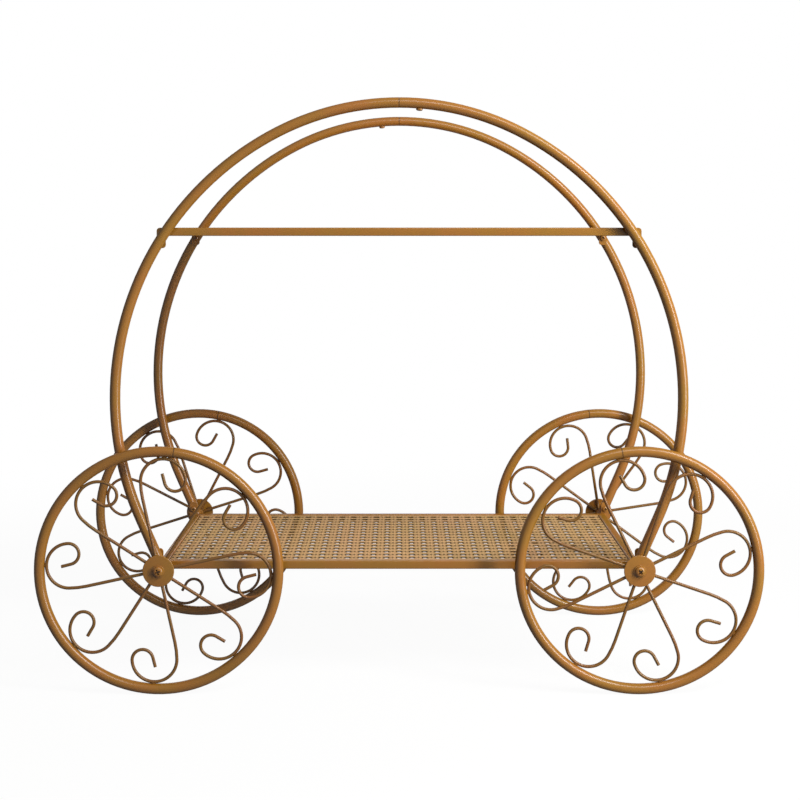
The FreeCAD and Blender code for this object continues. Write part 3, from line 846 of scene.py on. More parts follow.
class PunchedSheet(Recipe):
    """A border filled with a grid of punched cells, all in one skin."""

    name = "punched_sheet"
    inputs = {"Cell": "NodeSocketObject", "Columns": "NodeSocketInt", "Rows": "NodeSocketInt",
              "Pitch": "NodeSocketFloat", "Height": "NodeSocketFloat"}
    merge_mm: ClassVar[float] = 0.01

    def grow(self, given: NodeOutputs) -> NodeSocket:
        """Lay the cells out, weld them to the border and lift the skin to its height.

        Args:
            given: Outputs of the group's input node.

        Returns:
            The socket with the skin.
        """
        sizes = []
        for label in ("Columns", "Rows"):
            span = add_node(self.tree, "ShaderNodeMath", {0: given[label], 1: given["Pitch"]},
                            operation="MULTIPLY")
            sizes.append(add_node(self.tree, "ShaderNodeMath", {0: span.outputs[0], 1: given["Pitch"]},
                                  operation="SUBTRACT"))
        grid = add_node(self.tree, "GeometryNodeMeshGrid", {
            "Size X": sizes[0].outputs[0], "Size Y": sizes[1].outputs[0],
            "Vertices X": given["Columns"], "Vertices Y": given["Rows"]})
        cell = add_node(self.tree, "GeometryNodeObjectInfo", {"Object": given["Cell"]})
        cells = add_node(self.tree, "GeometryNodeInstanceOnPoints", {
            "Points": grid.outputs[0], "Instance": cell.outputs["Geometry"]})
        laid = add_node(self.tree, "GeometryNodeRealizeInstances", {"Geometry": cells.outputs[0]})
        both = add_node(self.tree, "GeometryNodeJoinGeometry", {"Geometry": laid.outputs[0]})
        self.tree.links.new(given["Geometry"], both.inputs["Geometry"])
        skin = add_node(self.tree, "GeometryNodeMergeByDistance", {
            "Geometry": both.outputs[0], "Distance": self.merge_mm * MM})
        rise = add_node(self.tree, "ShaderNodeCombineXYZ", {"Z": given["Height"]})
        lifted = add_node(self.tree, "GeometryNodeSetPosition", {
            "Geometry": skin.outputs[0], "Offset": rise.outputs[0]})
        return lifted.outputs[0]


BENT_TUBE = BentTube()
SPOKE_RING = SpokeRing()
SEATED_SET = SeatedSet()
PUNCHED_SHEET = PunchedSheet()


# Small pieces


@dataclass(frozen=True)
class PanScrew:
    """Cross-slotted pan-head screw. From side_height on, sizes are shares of the head or the shank."""

    head: float
    head_height: float
    thread: float
    length: float
    sides: int = 40
    arc_steps: int = 5
    side_height: float = 0.62
    crown_width: float = 0.62
    crown_height: float = 0.97
    tip_ease: float = 0.2
    seat_ease: float = 0.04
    side_ease: float = 0.22
    crown_ease: float = 0.5
    recess_length: float = 0.62
    recess_width: float = 0.17
    recess_depth: float = 0.5
    recess_floor: Pair = (0.55, 0.685)
    cutter_top: float = 1.2
    # Painted shade in the recess: up to which share of the head's height, below which face slope, and how
    # dark
    dark_height: float = 0.93
    dark_slope: float = 0.7
    recess_patina: float = 0.8

    def mesh(self, name: str) -> Mesh:
        """Build the screw with its seat at z = 0 and its head above.

        Args:
            name: Name of the mesh.

        Returns:
            The mesh.
        """
        rim, top, shank = self.head / 2, self.head_height, self.thread / 2
        corners = ((0, -self.length), (shank, -self.length), (shank, 0), (rim, 0),
                   (rim, top * self.side_height), (rim * self.crown_width, top * self.crown_height), (0, top))
        radii = (0, shank * self.tip_ease, 0, rim * self.seat_ease, rim * self.side_ease,
                 rim * self.crown_ease, 0)
        outline = round_corners(corners, radii, self.arc_steps)
        screw = new_object(name, turned_mesh(name, outline, around=self.sides))
        arms = []
        for turn in (0, 90):
            arm = new_object(f"{name}_recess_{turn}", self.recess_mesh(turn))
            cutter = screw.modifiers.new(arm.name, "BOOLEAN")
            cutter.object = arm
            cutter.operation = "DIFFERENCE"
            cutter.solver = "EXACT"
            arms.append(arm)
        bake(screw)
        mesh = screw.data
        for thing in (*arms, screw):
            bpy.data.objects.remove(thing)
        # Painted shade darkens the cross recess
        self.darken_recess(mesh)
        return mesh

    def darken_recess(self, mesh: Mesh) -> None:
        """Paint shade on the recess's faces, where a deep slot lies in shadow.

        Args:
            mesh: The screw's mesh.
        """
        reach = self.head * self.recess_length / 2 * MM
        brim = self.head_height * self.dark_height * MM
        dark = []
        for face in mesh.polygons:
            inside = face.center.z > 0 and face.center.xy.length < reach
            below = face.center.z < brim or face.normal.z < self.dark_slope
            dark.append(self.recess_patina if inside and below else 0.0)
        mesh.attributes.new("patina", "FLOAT", "FACE").data.foreach_set("value", dark)

    def recess_mesh(self, turn: float) -> Mesh:
        """Build one tapered arm of the cross slot.

        Args:
            turn: Turn of the arm about the screw in degrees.

        Returns:
            The cutter's mesh.
        """
        reach = self.head * self.recess_length / 2
        wide = self.head * self.recess_width / 2
        floor = self.head_height * (1 - self.recess_depth)
        top = self.head_height * self.cutter_top
        points = []
        for height, (long, broad) in ((floor, self.recess_floor), (top, (1, 1))):
            for x, y in ((-1, -1), (1, -1), (1, 1), (-1, 1)):
                points.append((x * reach * long, y * wide * broad, height))
        return closed_mesh("recess", points, capped_faces(2, 4), Matrix.Rotation(math.radians(turn), 4, "Z"))


@dataclass(frozen=True)
class WeldBead:
    """Short run of weld under the paint, rippled along its length."""

    length: float = 7.0
    width: float = 2.4
    height: float = 1.3
    ripples: int = 4
    around: int = 8
    bluntness: float = 0.4
    valley: float = 0.86
    foot: float = 0.4

    def mesh(self, name: str) -> Mesh:
        """Build the bead along X on z = 0, its crown up and its foot sunk a little.

        Args:
            name: Name of the mesh.

        Returns:
            The mesh.
        """
        stations = 2 * self.ripples + 1
        points = [(-self.length / 2, 0, 0)]
        for station in range(1, stations):
            share = station / stations
            swell = math.sin(math.pi * share) ** self.bluntness * (1.0 if station % 2 else self.valley)
            for number in range(self.around):
                angle = 2 * math.pi * number / self.around
                lift = math.sin(angle)
                points.append(((share - 0.5) * self.length, self.width / 2 * swell * math.cos(angle),
                               self.height * swell * (lift if lift > 0 else self.foot * lift)))
        points.append((self.length / 2, 0, 0))
        last = len(points) - 1
        faces = fan_faces(1, self.around, 0) + band_faces(stations - 1, self.around, first=1)
        return closed_mesh(name, points, faces + fan_faces(last - self.around, self.around, last))


@dataclass(frozen=True)
class ButtSeam:
    """Shallow groove where tube ends meet: its half width, and its depth as a share of the radius."""

    groove: float
    depth: float

    def along(self, distances: Iterable[float]) -> tuple[list[float], list[float]]:
        """Give the tube's shape near the seam, and the shade painted into its groove.

        Args:
            distances: Distances from the seam in millimetres.

        Returns:
            The tube's share of its radius at each distance, and its painted shade.
        """
        near = [max(0.0, 1 - abs(distance) / self.groove) for distance in distances]
        return [1 - self.depth * share for share in near], near


# Sub-assemblies


@dataclass
class SubAssembly:
    """Pieces that belong together, first built and then dressed."""

    pieces: list[tuple[Object, Finish, str, tuple[str, ...]]] = field(
        default_factory=list, init=False, repr=False)

    def add(self, thing: Object, finish: Finish, body: str, *nodes: str) -> None:
        """Note a built piece, the body that carries it and the nodes that it stands for."""
        self.pieces.append((thing, finish, body, nodes))

    def seat(self, name: str, pattern: Mesh, seats: Sequence[Seat], finish: Finish, body: str,
             *nodes: str) -> None:
        """Set copies of a small piece on seats and bake them into one piece.

        Args:
            name: Name of the piece.
            pattern: Mesh of one copy, top along +Z.
            seats: Where the copies go.
            finish: Finish of the copies.
            body: Body that carries them.
            *nodes: Nodes that they stand for.
        """
        model = new_object(f"{name}_pattern", pattern)
        made = bake(SEATED_SET.apply(name, seat_mesh(name, seats), finish, Pattern=model))
        bpy.data.objects.remove(model)
        self.add(made, finish, body, *nodes)

    def dress(self) -> None:
        """Give every piece its finish and hand it to the frame."""
        for thing, finish, body, nodes in self.pieces:
            coat = material_of(finish)
            if coat.name not in thing.data.materials:
                thing.data.materials.clear()
                thing.data.materials.append(coat)
            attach(thing, body)
            if nodes:
                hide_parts(*nodes)
            log.info("%s: %d faces on %s", thing.name, len(thing.data.polygons), body)


@dataclass
class Hoops(SubAssembly):
    """Both hoops, each of two tube halves that meet at the crown, with their plugs and joint screws."""

    hub_x: float
    hub_z: float
    tube: float = 12.7
    tube_sides: int = 28
    leg_straight: float = 63.5
    leg_lean: float = 23.5
    leg_end: float = 13.0
    side_radius: float = 364.0
    shoulder: float = 63.0
    bend_step: float = 2.0
    plane_y: float = 150.0
    seam: ButtSeam = ButtSeam(0.9, 0.10)
    plug_cap: float = 1.5
    plug_dome: float = 0.9
    plug_rim: float = 0.1
    plug_spigot: float = 6.0
    plug_inset: float = 1.4
    plug_tip: float = 0.6
    screw_offset: float = 25.0
    screw_gap: float = 0.1
    screw_slant: float = 0.5
    screw: PanScrew = PanScrew(8.0, 2.6, 4.0, 8.0)

    def __post_init__(self) -> None:
        """Work out the crown bend, which is tangent to the side bends."""
        lean, shoulder = math.radians(self.leg_lean), math.radians(self.shoulder)
        side_x = self.hub_x + self.leg_straight * math.sin(lean) - self.side_radius * math.cos(lean)
        side_z = self.hub_z + self.leg_straight * math.cos(lean) + self.side_radius * math.sin(lean)
        self.crown_radius = self.side_radius + side_x / math.cos(shoulder)
        self.crown_z = side_z + (self.side_radius - self.crown_radius) * math.sin(shoulder)

    def build(self) -> None:
        """Build the four halves, the plugs and the crown screws."""
        for face, side in CORNERS:
            self.half(face, side)
        self.plugs()
        self.crown_screws()

    def half(self, face: Face, side: Side) -> None:
        """Build one half, from the crown's seam down to the leg's end.

        Args:
            face: Which hoop.
            side: Which half of it.
        """
        line = bent_line((0, self.crown_z + self.crown_radius), 0, (
            Bend(self.crown_radius, self.shoulder - 90),
            Bend(self.side_radius, -self.shoulder - self.leg_lean),
            Run(self.leg_straight + self.leg_end),
        ), self.bend_step)
        first, second = Vector(line[0]), Vector(line[1])
        near = [self.seam.groove * share for share in (0.25, 0.6, 1.0)]
        far = [self.seam.groove] * (len(line) - 1)
        line[1:1] = [tuple(first + (second - first).normalized() * distance) for distance in near]
        # The seam's groove takes painted shade, darkest at the seam itself
        swell, patina = self.seam.along([0.0, *near, *far])
        points = [(side.value * across, face.value * self.plane_y, up) for across, up in line]
        name = f"{face.word}_hoop_{side.word}"
        tube = BENT_TUBE.apply(f"{name}_tube", line_mesh(name, points, swell, patina), TUBE_COAT,
                               Tube_Radius=self.tube / 2 * MM, Sides=self.tube_sides)
        self.add(bake(tube), TUBE_COAT, "frame", name)

    def plugs(self) -> None:
        """Build the domed plugs in the legs' lower ends."""
        rim, spigot = self.tube / 2, self.tube / 2 - self.plug_inset
        outline = round_corners(
            ((0, -self.plug_spigot), (spigot, -self.plug_spigot), (spigot, 0), (rim, 0),
             (rim, self.plug_cap), (0, self.plug_cap)),
            (0, self.plug_tip, 0, self.plug_rim, self.plug_dome, 0))
        lean = math.radians(self.leg_lean)
        seats = []
        for face, side in CORNERS:
            spot = (side.value * (self.hub_x - self.leg_end * math.sin(lean)), face.value * self.plane_y,
                    self.hub_z - self.leg_end * math.cos(lean))
            facing = (-side.value * math.sin(lean), 0, -math.cos(lean))
            seats.append(Seat(spot, facing, (0, 1, 0)))
        self.seat("leg_plug_caps", turned_mesh("leg_plug", outline), seats, PLASTIC, "frame", "leg_plugs")

    def crown_screws(self) -> None:
        """Build the screw under each crown joint, beside the seam."""
        radius = self.crown_radius - self.tube / 2 - self.screw_gap
        angle = self.screw_offset / self.crown_radius
        seats = []
        for face in Face:
            across, up = -face.value * math.sin(angle), math.cos(angle)
            spot = (radius * across, face.value * self.plane_y, self.crown_z + radius * up)
            seats.append(Seat(spot, (-across, 0, -up), (self.screw_slant, face.value, 0)))
        self.seat("crown_joint_screws", self.screw.mesh("crown_screw"), seats, SCREW_COAT, "frame",
                  "crown_screws")


@dataclass
class Wheel(SubAssembly):
    """One wheel: rim, scroll spokes and hub disc, with the welds that join them."""

    face: Face
    side: Side
    hub: Vector
    phase: float
    seam_angle: float
    diameter: float = 300.0
    rim_tube: float = 12.7
    rim_sides: int = 24
    rim_steps: int = 120
    seam: ButtSeam = ButtSeam(1.0, 0.08)
    wire: float = 4.0
    wire_sides: int = 12
    bend_step: float = 6.0
    spokes: int = 8
    spoke_start: float = 6.25
    lead_radius: float = 100.0
    lead_turn: float = 12.0
    loop_radius: float = 27.0
    loop_turn: float = 178.0
    curl_radius: float = 12.7
    curl_turn: float = 168.0
    tip: float = 12.0
    tip_ease: float = 0.5
    tip_swell: float = 0.8
    tip_patina: float = 0.6
    weld_gap: float = 0.2
    disc: float = 38.0
    disc_thickness: float = 2.0
    disc_bore: float = 6.1
    disc_edge: float = 0.7
    disc_edge_steps: int = 5
    disc_sides: int = 72
    weld: WeldBead = WeldBead(6.0, 2.0, 1.1, 3)
    rim_weld_inset: float = 0.5
    rim_weld_rise: float = 1.6
    rim_weld_lean: float = 0.6
    disc_weld_inset: float = 5.0
    disc_weld_aside: float = 0.3

    def __post_init__(self) -> None:
        """Work out the rim and the scroll, whose loop lies against the rim."""
        self.name = f"wheel_{self.face.word}_{self.side.word}"
        self.rim_radius = (self.diameter - self.rim_tube) / 2
        reach = self.rim_radius - self.rim_tube / 2 - self.weld_gap - self.wire / 2 - self.loop_radius
        extra, lead = self.lead_radius - self.loop_radius, math.radians(self.lead_turn)
        self.loop_drop = self.lead_radius - extra * math.cos(lead)
        self.loop_along = math.sqrt(reach ** 2 - self.loop_drop ** 2)
        self.spoke_run = self.loop_along - extra * math.sin(lead) - self.spoke_start

    def on_wheel(self, radius: float, angle: float, outwards: float = 0.0) -> Vector:
        """Point of the wheel at a radius, an angle seen from outside and a distance out of its plane."""
        turn = math.radians(angle)
        return self.hub + Vector((-self.face.value * radius * math.cos(turn), self.face.value * outwards,
                                  radius * math.sin(turn)))

    def build(self) -> None:
        """Build the rim, the spokes, the disc and the welds."""
        self.rim()
        self.scrolls()
        self.hub_disc()
        self.welds()

    def rim(self) -> None:
        """Build the rim's tube, with the butt weld that closes its ring."""
        near = [self.seam.groove * share for share in (-1.0, -0.5, 0.0, 0.5, 1.0)]
        step = 2 * math.pi * self.rim_radius / self.rim_steps
        distances = near + [step * number for number in range(1, self.rim_steps)]
        # The seam's groove takes painted shade, darkest at the seam itself
        swell, patina = self.seam.along(distances)
        angles = [self.seam_angle + math.degrees(distance / self.rim_radius) for distance in distances]
        points = [tuple(self.on_wheel(self.rim_radius, angle)) for angle in angles]
        line = line_mesh(f"{self.name}_rim", points, swell, patina, ring=True)
        tube = BENT_TUBE.apply(f"{self.name}_rim_tube", line, TUBE_COAT,
                               Tube_Radius=self.rim_tube / 2 * MM, Sides=self.rim_sides)
        self.add(bake(tube), TUBE_COAT, self.name, f"{self.name}_rim")

    def scrolls(self) -> None:
        """Build the spokes, which bend clockwise seen from outside."""
        line = bent_line((self.spoke_start, 0), 0, (
            Run(self.spoke_run),
            Bend(self.lead_radius, -self.lead_turn),
            Bend(self.loop_radius, -self.loop_turn),
            Bend(self.curl_radius, -self.curl_turn),
            Run(self.tip - self.tip_ease),
            Run(self.tip_ease),
        ), self.bend_step)
        turn = self.face.value
        points = [(-turn * across, 0, up) for across, up in line]
        swell = [1.0] * (len(points) - 1) + [self.tip_swell]
        # Only the wire's last point, its tip, is drawn darker, through the painted-shade attribute
        patina = [0.0] * (len(points) - 1) + [self.tip_patina]
        ring = SPOKE_RING.apply(
            f"{self.name}_scrolls", line_mesh(f"{self.name}_spoke", points, swell, patina), WIRE_COAT,
            Wire_Radius=self.wire / 2 * MM, Sides=self.wire_sides, Spokes=self.spokes,
            First_Angle=turn * math.radians(self.phase), Angle_Step=turn * 2 * math.pi / self.spokes,
            Hub=self.hub * MM)
        self.add(bake(ring), WIRE_COAT, self.name, f"{self.name}_spokes")

    def hub_disc(self) -> None:
        """Build the disc over the spokes' inner ends, with its edges rolled over."""
        inner, outer = self.disc_bore / 2, self.disc / 2
        low = self.wire / 2 + self.weld_gap
        high = low + self.disc_thickness
        outline = round_corners(((inner, low), (outer, low), (outer, high), (inner, high)),
                                (0, self.disc_edge, self.disc_edge, 0), self.disc_edge_steps)
        stand = Matrix.Translation(self.hub) @ Matrix.Rotation(math.radians(-90 * self.face.value), 4, "X")
        mesh = turned_mesh("hub_disc", outline, stand, self.disc_sides)
        self.add(new_object(f"{self.name}_hub_disc", mesh), TUBE_COAT, self.name, f"{self.name}_disc")

    def welds(self) -> None:
        """Build the small welds at the rim and behind the disc."""
        contact = math.degrees(math.atan2(-self.loop_drop, self.loop_along))
        outwards = Vector((0, self.face.value, 0))
        rim_inside = self.rim_radius - self.rim_tube / 2
        seats = []
        for number in range(self.spokes):
            spoke = self.phase + 360 * number / self.spokes
            angle = spoke + contact
            radial = (self.on_wheel(1, angle) - self.hub).normalized()
            tangent = radial.cross(outwards)
            for way in (-1, 1):
                spot = self.on_wheel(rim_inside - self.rim_weld_inset, angle, way * self.rim_weld_rise)
                facing = outwards * way - radial * self.rim_weld_lean
                seats.append(Seat(tuple(spot), tuple(facing), tuple(tangent)))
            arm = (self.on_wheel(1, spoke) - self.hub).normalized()
            beside = arm.cross(outwards) * (self.wire / 2 + self.disc_weld_aside)
            spot = self.on_wheel(self.disc / 2 - self.disc_weld_inset, spoke, self.wire / 2) + beside
            seats.append(Seat(tuple(spot), tuple(-outwards), tuple(arm)))
        self.seat(f"{self.name}_welds", self.weld.mesh("spoke_weld"), seats, WIRE_COAT, self.name)


@dataclass
class Axles(SubAssembly):
    """What the wheels turn on: collared bosses on the legs, washers and screws."""

    hubs: Sequence[tuple[Face, Vector]]
    plane_y: float = 150.0
    bore: float = 6.1
    shank: float = 8.0
    shank_end: float = -2.5
    collar: float = 14.0
    collar_start: float = 6.35
    collar_end: float = 15.0
    collar_eases: Pair = (0.4, 0.8)
    washer: float = 15.0
    washer_start: float = 25.4
    washer_end: float = 26.4
    washer_eases: Pair = (0.2, 0.4)
    first_slant: float = 20.0
    slant_step: float = 25.0
    screw: PanScrew = PanScrew(12.0, 4.0, 6.0, 30.0)

    def build(self) -> None:
        """Build the bosses, the washers and the screws."""
        inner, shank, collar, rim = self.bore / 2, self.shank / 2, self.collar / 2, self.washer / 2
        boss = round_corners(
            ((inner, self.shank_end), (shank, self.shank_end), (shank, self.collar_start),
             (collar, self.collar_start), (collar, self.collar_end), (inner, self.collar_end)),
            (0, 0, 0, *self.collar_eases, 0))
        washer = round_corners(
            ((inner, self.washer_start), (rim, self.washer_start), (rim, self.washer_end),
             (inner, self.washer_end)), (0, *self.washer_eases, 0))
        on_leg, under_head = [], []
        for number, (face, hub) in enumerate(self.hubs):
            outwards = (0, face.value, 0)
            slant = math.radians(self.first_slant + self.slant_step * number)
            along = (math.cos(slant), 0, math.sin(slant))
            on_leg.append(Seat((hub.x, face.value * self.plane_y, hub.z), outwards, (1, 0, 0)))
            seat_y = face.value * (self.plane_y + self.washer_end)
            under_head.append(Seat((hub.x, seat_y, hub.z), outwards, along))
        self.seat("axle_boss_collars", turned_mesh("boss", boss), on_leg, TUBE_COAT, "frame", "axle_bosses")
        self.seat("axle_flat_washers", turned_mesh("washer", washer), on_leg, SCREW_COAT, "frame",
                  "axle_washers")
        self.seat("axle_pan_screws", self.screw.mesh("axle_screw"), under_head, SCREW_COAT, "frame",
                  "axle_screws")


@dataclass
class Tray(SubAssembly):
    """Deck or shelf: four mitred rails, a cane-pattern punched sheet and the tabs that hold it."""

    tier: Tier
    screw_x: float
    screw_z: float
    rail_corner: float = 1.2
    mitre_gap: float = 0.1
    pitch: float = 16.0
    hole: float = 6.4
    hole_sides: int = 8
    eye: float = 3.0
    roll: float = 0.8
    dip: float = 0.3
    # Painted shade on each hole's rolled lip: at the hole's edge and at the roll's outer edge
    hole_patina: float = 0.75
    roll_patina: float = 0.45
    tab_width: float = 11.0
    tab_thickness: float = 2.0
    tab_corner: float = 4.0
    tab_corner_steps: int = 6
    tab_end: float = 10.0
    tab_ease: float = 0.3
    weld_spacing: float = 94.0
    weld: WeldBead = WeldBead()
    screw: PanScrew = PanScrew(8.0, 2.6, 4.0, 11.0)
    slant: float = 15.0
    slant_by_side: float = 40.0
    slant_by_face: float = 20.0

    def __post_init__(self) -> None:
        """Read the tray's box and its sheet's box from the frame."""
        word = self.tier.word
        low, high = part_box(f"{word}_rail_front")
        self.half_length = high.x / MM
        self.half_depth = -low.y / MM
        self.bottom, self.top = low.z / MM, high.z / MM
        self.rail = self.top - self.bottom
        self.sheet_low, self.sheet_high = (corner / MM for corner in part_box(f"{word}_sheet"))

    def build(self) -> None:
        """Build the rails, the sheet, the tabs, their screws and the welds."""
        self.rails()
        self.sheet()
        self.tabs()
        self.tab_screws()
        self.welds()

    def rails(self) -> None:
        """Build the four square tubes, cut at 45 degrees where they meet."""
        full = self.rail
        section = round_corners(((0, 0), (full, 0), (full, full), (0, full)), (self.rail_corner,) * 4)
        faces = capped_faces(2, len(section))
        halves = (self.half_length, self.half_depth)
        for number, word in enumerate(("front", "right", "back", "left")):
            half, out = halves if number % 2 == 0 else halves[::-1]
            points = []
            for end in (-1, 1):
                for depth, height in section:
                    points.append((end * (half - depth - self.mitre_gap), depth - out, self.bottom + height))
            node = f"{self.tier.word}_rail_{word}"
            mesh = closed_mesh(node, points, faces, Matrix.Rotation(math.radians(90 * number), 4, "Z"))
            self.add(new_object(f"{node}_tube", mesh), TUBE_COAT, "frame", node)

    def cell_mesh(self) -> Mesh:
        """Build one punched cell: an octagon hole with a rolled edge in painted shade, and a quarter eye at
        each corner.

        Returns:
            The cell's flat mesh, its faces upwards.
        """
        half, notch = self.pitch / 2, self.pitch / 2 - self.eye / 2
        sides = self.hole_sides
        edge = self.hole / 2 / math.cos(math.pi / sides)
        turn = -math.pi / sides
        points = circle(edge, -self.dip, sides, turn) + circle(edge + self.roll, 0.0, sides, turn)
        points += [(half, -notch, 0), (half, notch, 0), (notch, half, 0), (-notch, half, 0),
                   (-half, notch, 0), (-half, -notch, 0), (-notch, -half, 0), (notch, -half, 0)]
        faces = []
        for low in (0, sides):
            for number in range(sides):
                after = (number + 1) % sides
                faces.append((low + number, low + sides + number, low + sides + after, low + after))
        mesh = bpy.data.meshes.new("cane_cell")
        mesh.from_pydata([Vector(p) * MM for p in points], [], faces)
        # Painted shade, darkest at the hole's edge, fading over the roll to none at the cell's border
        patina = [share for share in (self.hole_patina, self.roll_patina, 0.0) for _ in range(sides)]
        mesh.attributes.new("patina", "FLOAT", "POINT").data.foreach_set("value", patina)
        return mesh

    def border_mesh(self, columns: int, rows: int) -> Mesh:
        """Build the plain border between the cells and the sheet's edge.

        Args:
            columns: Cells along X.
            rows: Cells along Y.

        Returns:
            The border's flat mesh, its faces upwards.
        """
        lines = []
        for count, edge in ((columns, self.sheet_high.x), (rows, self.sheet_high.y)):
            first = -count * self.pitch / 2
            # The cells' edges stop short of their corners by half an eye
            marks = [first + number * self.pitch + offset for number in range(count)
                     for offset in (self.eye / 2, self.pitch - self.eye / 2)]
            lines.append([-edge, first, *marks, -first, edge])
        spans_x, spans_y = (list(zip(line, line[1:])) for line in lines)
        points, faces = [], []
        for span_x in spans_x:
            for span_y in spans_y:
                if span_x not in (spans_x[0], spans_x[-1]) and span_y not in (spans_y[0], spans_y[-1]):
                    continue
                (left, right), (near, far) = span_x, span_y
                faces.append(tuple(range(len(points), len(points) + 4)))
                points += [(left, near, 0), (right, near, 0), (right, far, 0), (left, far, 0)]
        mesh = bpy.data.meshes.new("sheet_border")
        mesh.from_pydata([Vector(p) * MM for p in points], [], faces)
        return mesh

    def sheet(self) -> None:
        """Build the punched sheet and give it its thickness."""
        columns = int(2 * self.sheet_high.x // self.pitch)
        rows = int(2 * self.sheet_high.y // self.pitch)
        word = self.tier.word
        cell = new_object(f"{word}_cane_cell", self.cell_mesh())
        sheet = PUNCHED_SHEET.apply(f"{word}_cane_sheet", self.border_mesh(columns, rows), SHEET_COAT,
                                    Cell=cell, Columns=columns, Rows=rows, Pitch=self.pitch * MM,
                                    Height=self.sheet_high.z * MM)
        wall = sheet.modifiers.new("thickness", "SOLIDIFY")
        wall.thickness = (self.sheet_high.z - self.sheet_low.z) * MM
        wall.offset = -1
        bake(sheet)
        bpy.data.objects.remove(cell)
        self.add(sheet, SHEET_COAT, "frame", f"{word}_sheet")

    def tabs(self) -> None:
        """Build the flat tabs, welded to the rails' outer faces, that the hoops are screwed to."""
        half = self.tab_width / 2
        free = self.screw_z + self.tier.value * self.tab_end
        low, high = (self.bottom, free) if self.tier is Tier.DECK else (free, self.top)
        middle, reach = (low + high) / 2, (high - low) / 2
        corners = ((-half, -reach), (half, -reach), (half, reach), (-half, reach))
        outline = round_corners(corners, (self.tab_corner,) * 4, self.tab_corner_steps)
        seats = []
        for face, side in CORNERS:
            spot = (side.value * self.screw_x, face.value * self.half_depth, middle)
            seats.append(Seat(spot, (0, face.value, 0), (-face.value, 0, 0)))
        node = f"{self.tier.word}_tabs"
        pattern = prism_mesh("corner_tab", outline, self.tab_thickness, self.tab_ease)
        self.seat(f"{node}_plates", pattern, seats, TUBE_COAT, "frame", node)

    def tab_screws(self) -> None:
        """Build the screws through the tabs, their heads inside the stand."""
        seats = []
        for face, side in CORNERS:
            slant = math.radians(self.slant + self.slant_by_side * side.value
                                 + self.slant_by_face * face.value)
            spot = (side.value * self.screw_x, face.value * self.half_depth, self.screw_z)
            seats.append(Seat(spot, (0, -face.value, 0), (math.cos(slant), 0, math.sin(slant))))
        node = f"{self.tier.word}_tab_screws"
        self.seat(f"{node}_pan", self.screw.mesh("tab_screw"), seats, SCREW_COAT, "frame", node)

    def welds(self) -> None:
        """Build the welds that hold the tabs, the mitres and the sheet."""
        seats = []
        inner_y, inner_x = self.half_depth - self.rail, self.half_length - self.rail
        mitre_x, mitre_y = self.half_length - self.rail / 2, self.half_depth - self.rail / 2
        middle_z = (self.bottom + self.top) / 2
        for face, side in CORNERS:
            for edge in (-1, 1):
                across = side.value * self.screw_x + edge * self.tab_width / 2
                if abs(across) < self.half_length - self.rail_corner:
                    spot = (across, face.value * self.half_depth, middle_z)
                    seats.append(Seat(spot, (0, face.value, 0), (0, 0, 1)))
            corner = (side.value * mitre_x, face.value * mitre_y, self.bottom)
            seats.append(Seat(corner, (0, 0, -1), (side.value, face.value, 0)))
        count = int(2 * inner_x // self.weld_spacing)
        for face in Face:
            for number in range(count):
                across = (number - (count - 1) / 2) * self.weld_spacing
                seats.append(Seat((across, face.value * inner_y, self.sheet_low.z),
                                  (0, -face.value, -1), (1, 0, 0)))
        self.seat(f"{self.tier.word}_welds", self.weld.mesh("tray_weld"), seats, TUBE_COAT, "frame")


@dataclass
class HiddenMetal:
    """Pieces that only show inside the joints: their CAD shapes stay, in zinc plate."""

    nodes: Sequence[str]

    def dress(self) -> None:
        """Give each node its plating."""
        for name in self.nodes:
            slots = frame["nodes"][name].data.materials
            slots.clear()
            slots.append(material_of(ZINC))
            log.info("%s: plated", name)


# Studio


@dataclass(frozen=True)
class Softbox:
    """Soft lamp in metres, aimed at a point of the stand."""

    name: str
    spot: Triple
    aim: Triple
    width: float
    height: float
    watts: float

    def build(self) -> None:
        """Hang the lamp."""
        lamp = bpy.data.lights.new(self.name, "AREA")
        lamp.shape = "RECTANGLE"
        lamp.size, lamp.size_y = self.width, self.height
        lamp.energy = self.watts
        box = bpy.data.objects.new(self.name, lamp)
        box.location = self.spot
        box.rotation_mode = "QUATERNION"
        box.rotation_quaternion = (Vector(self.aim) - Vector(self.spot)).to_track_quat("-Z", "Y")
        bpy.context.scene.collection.objects.link(box)


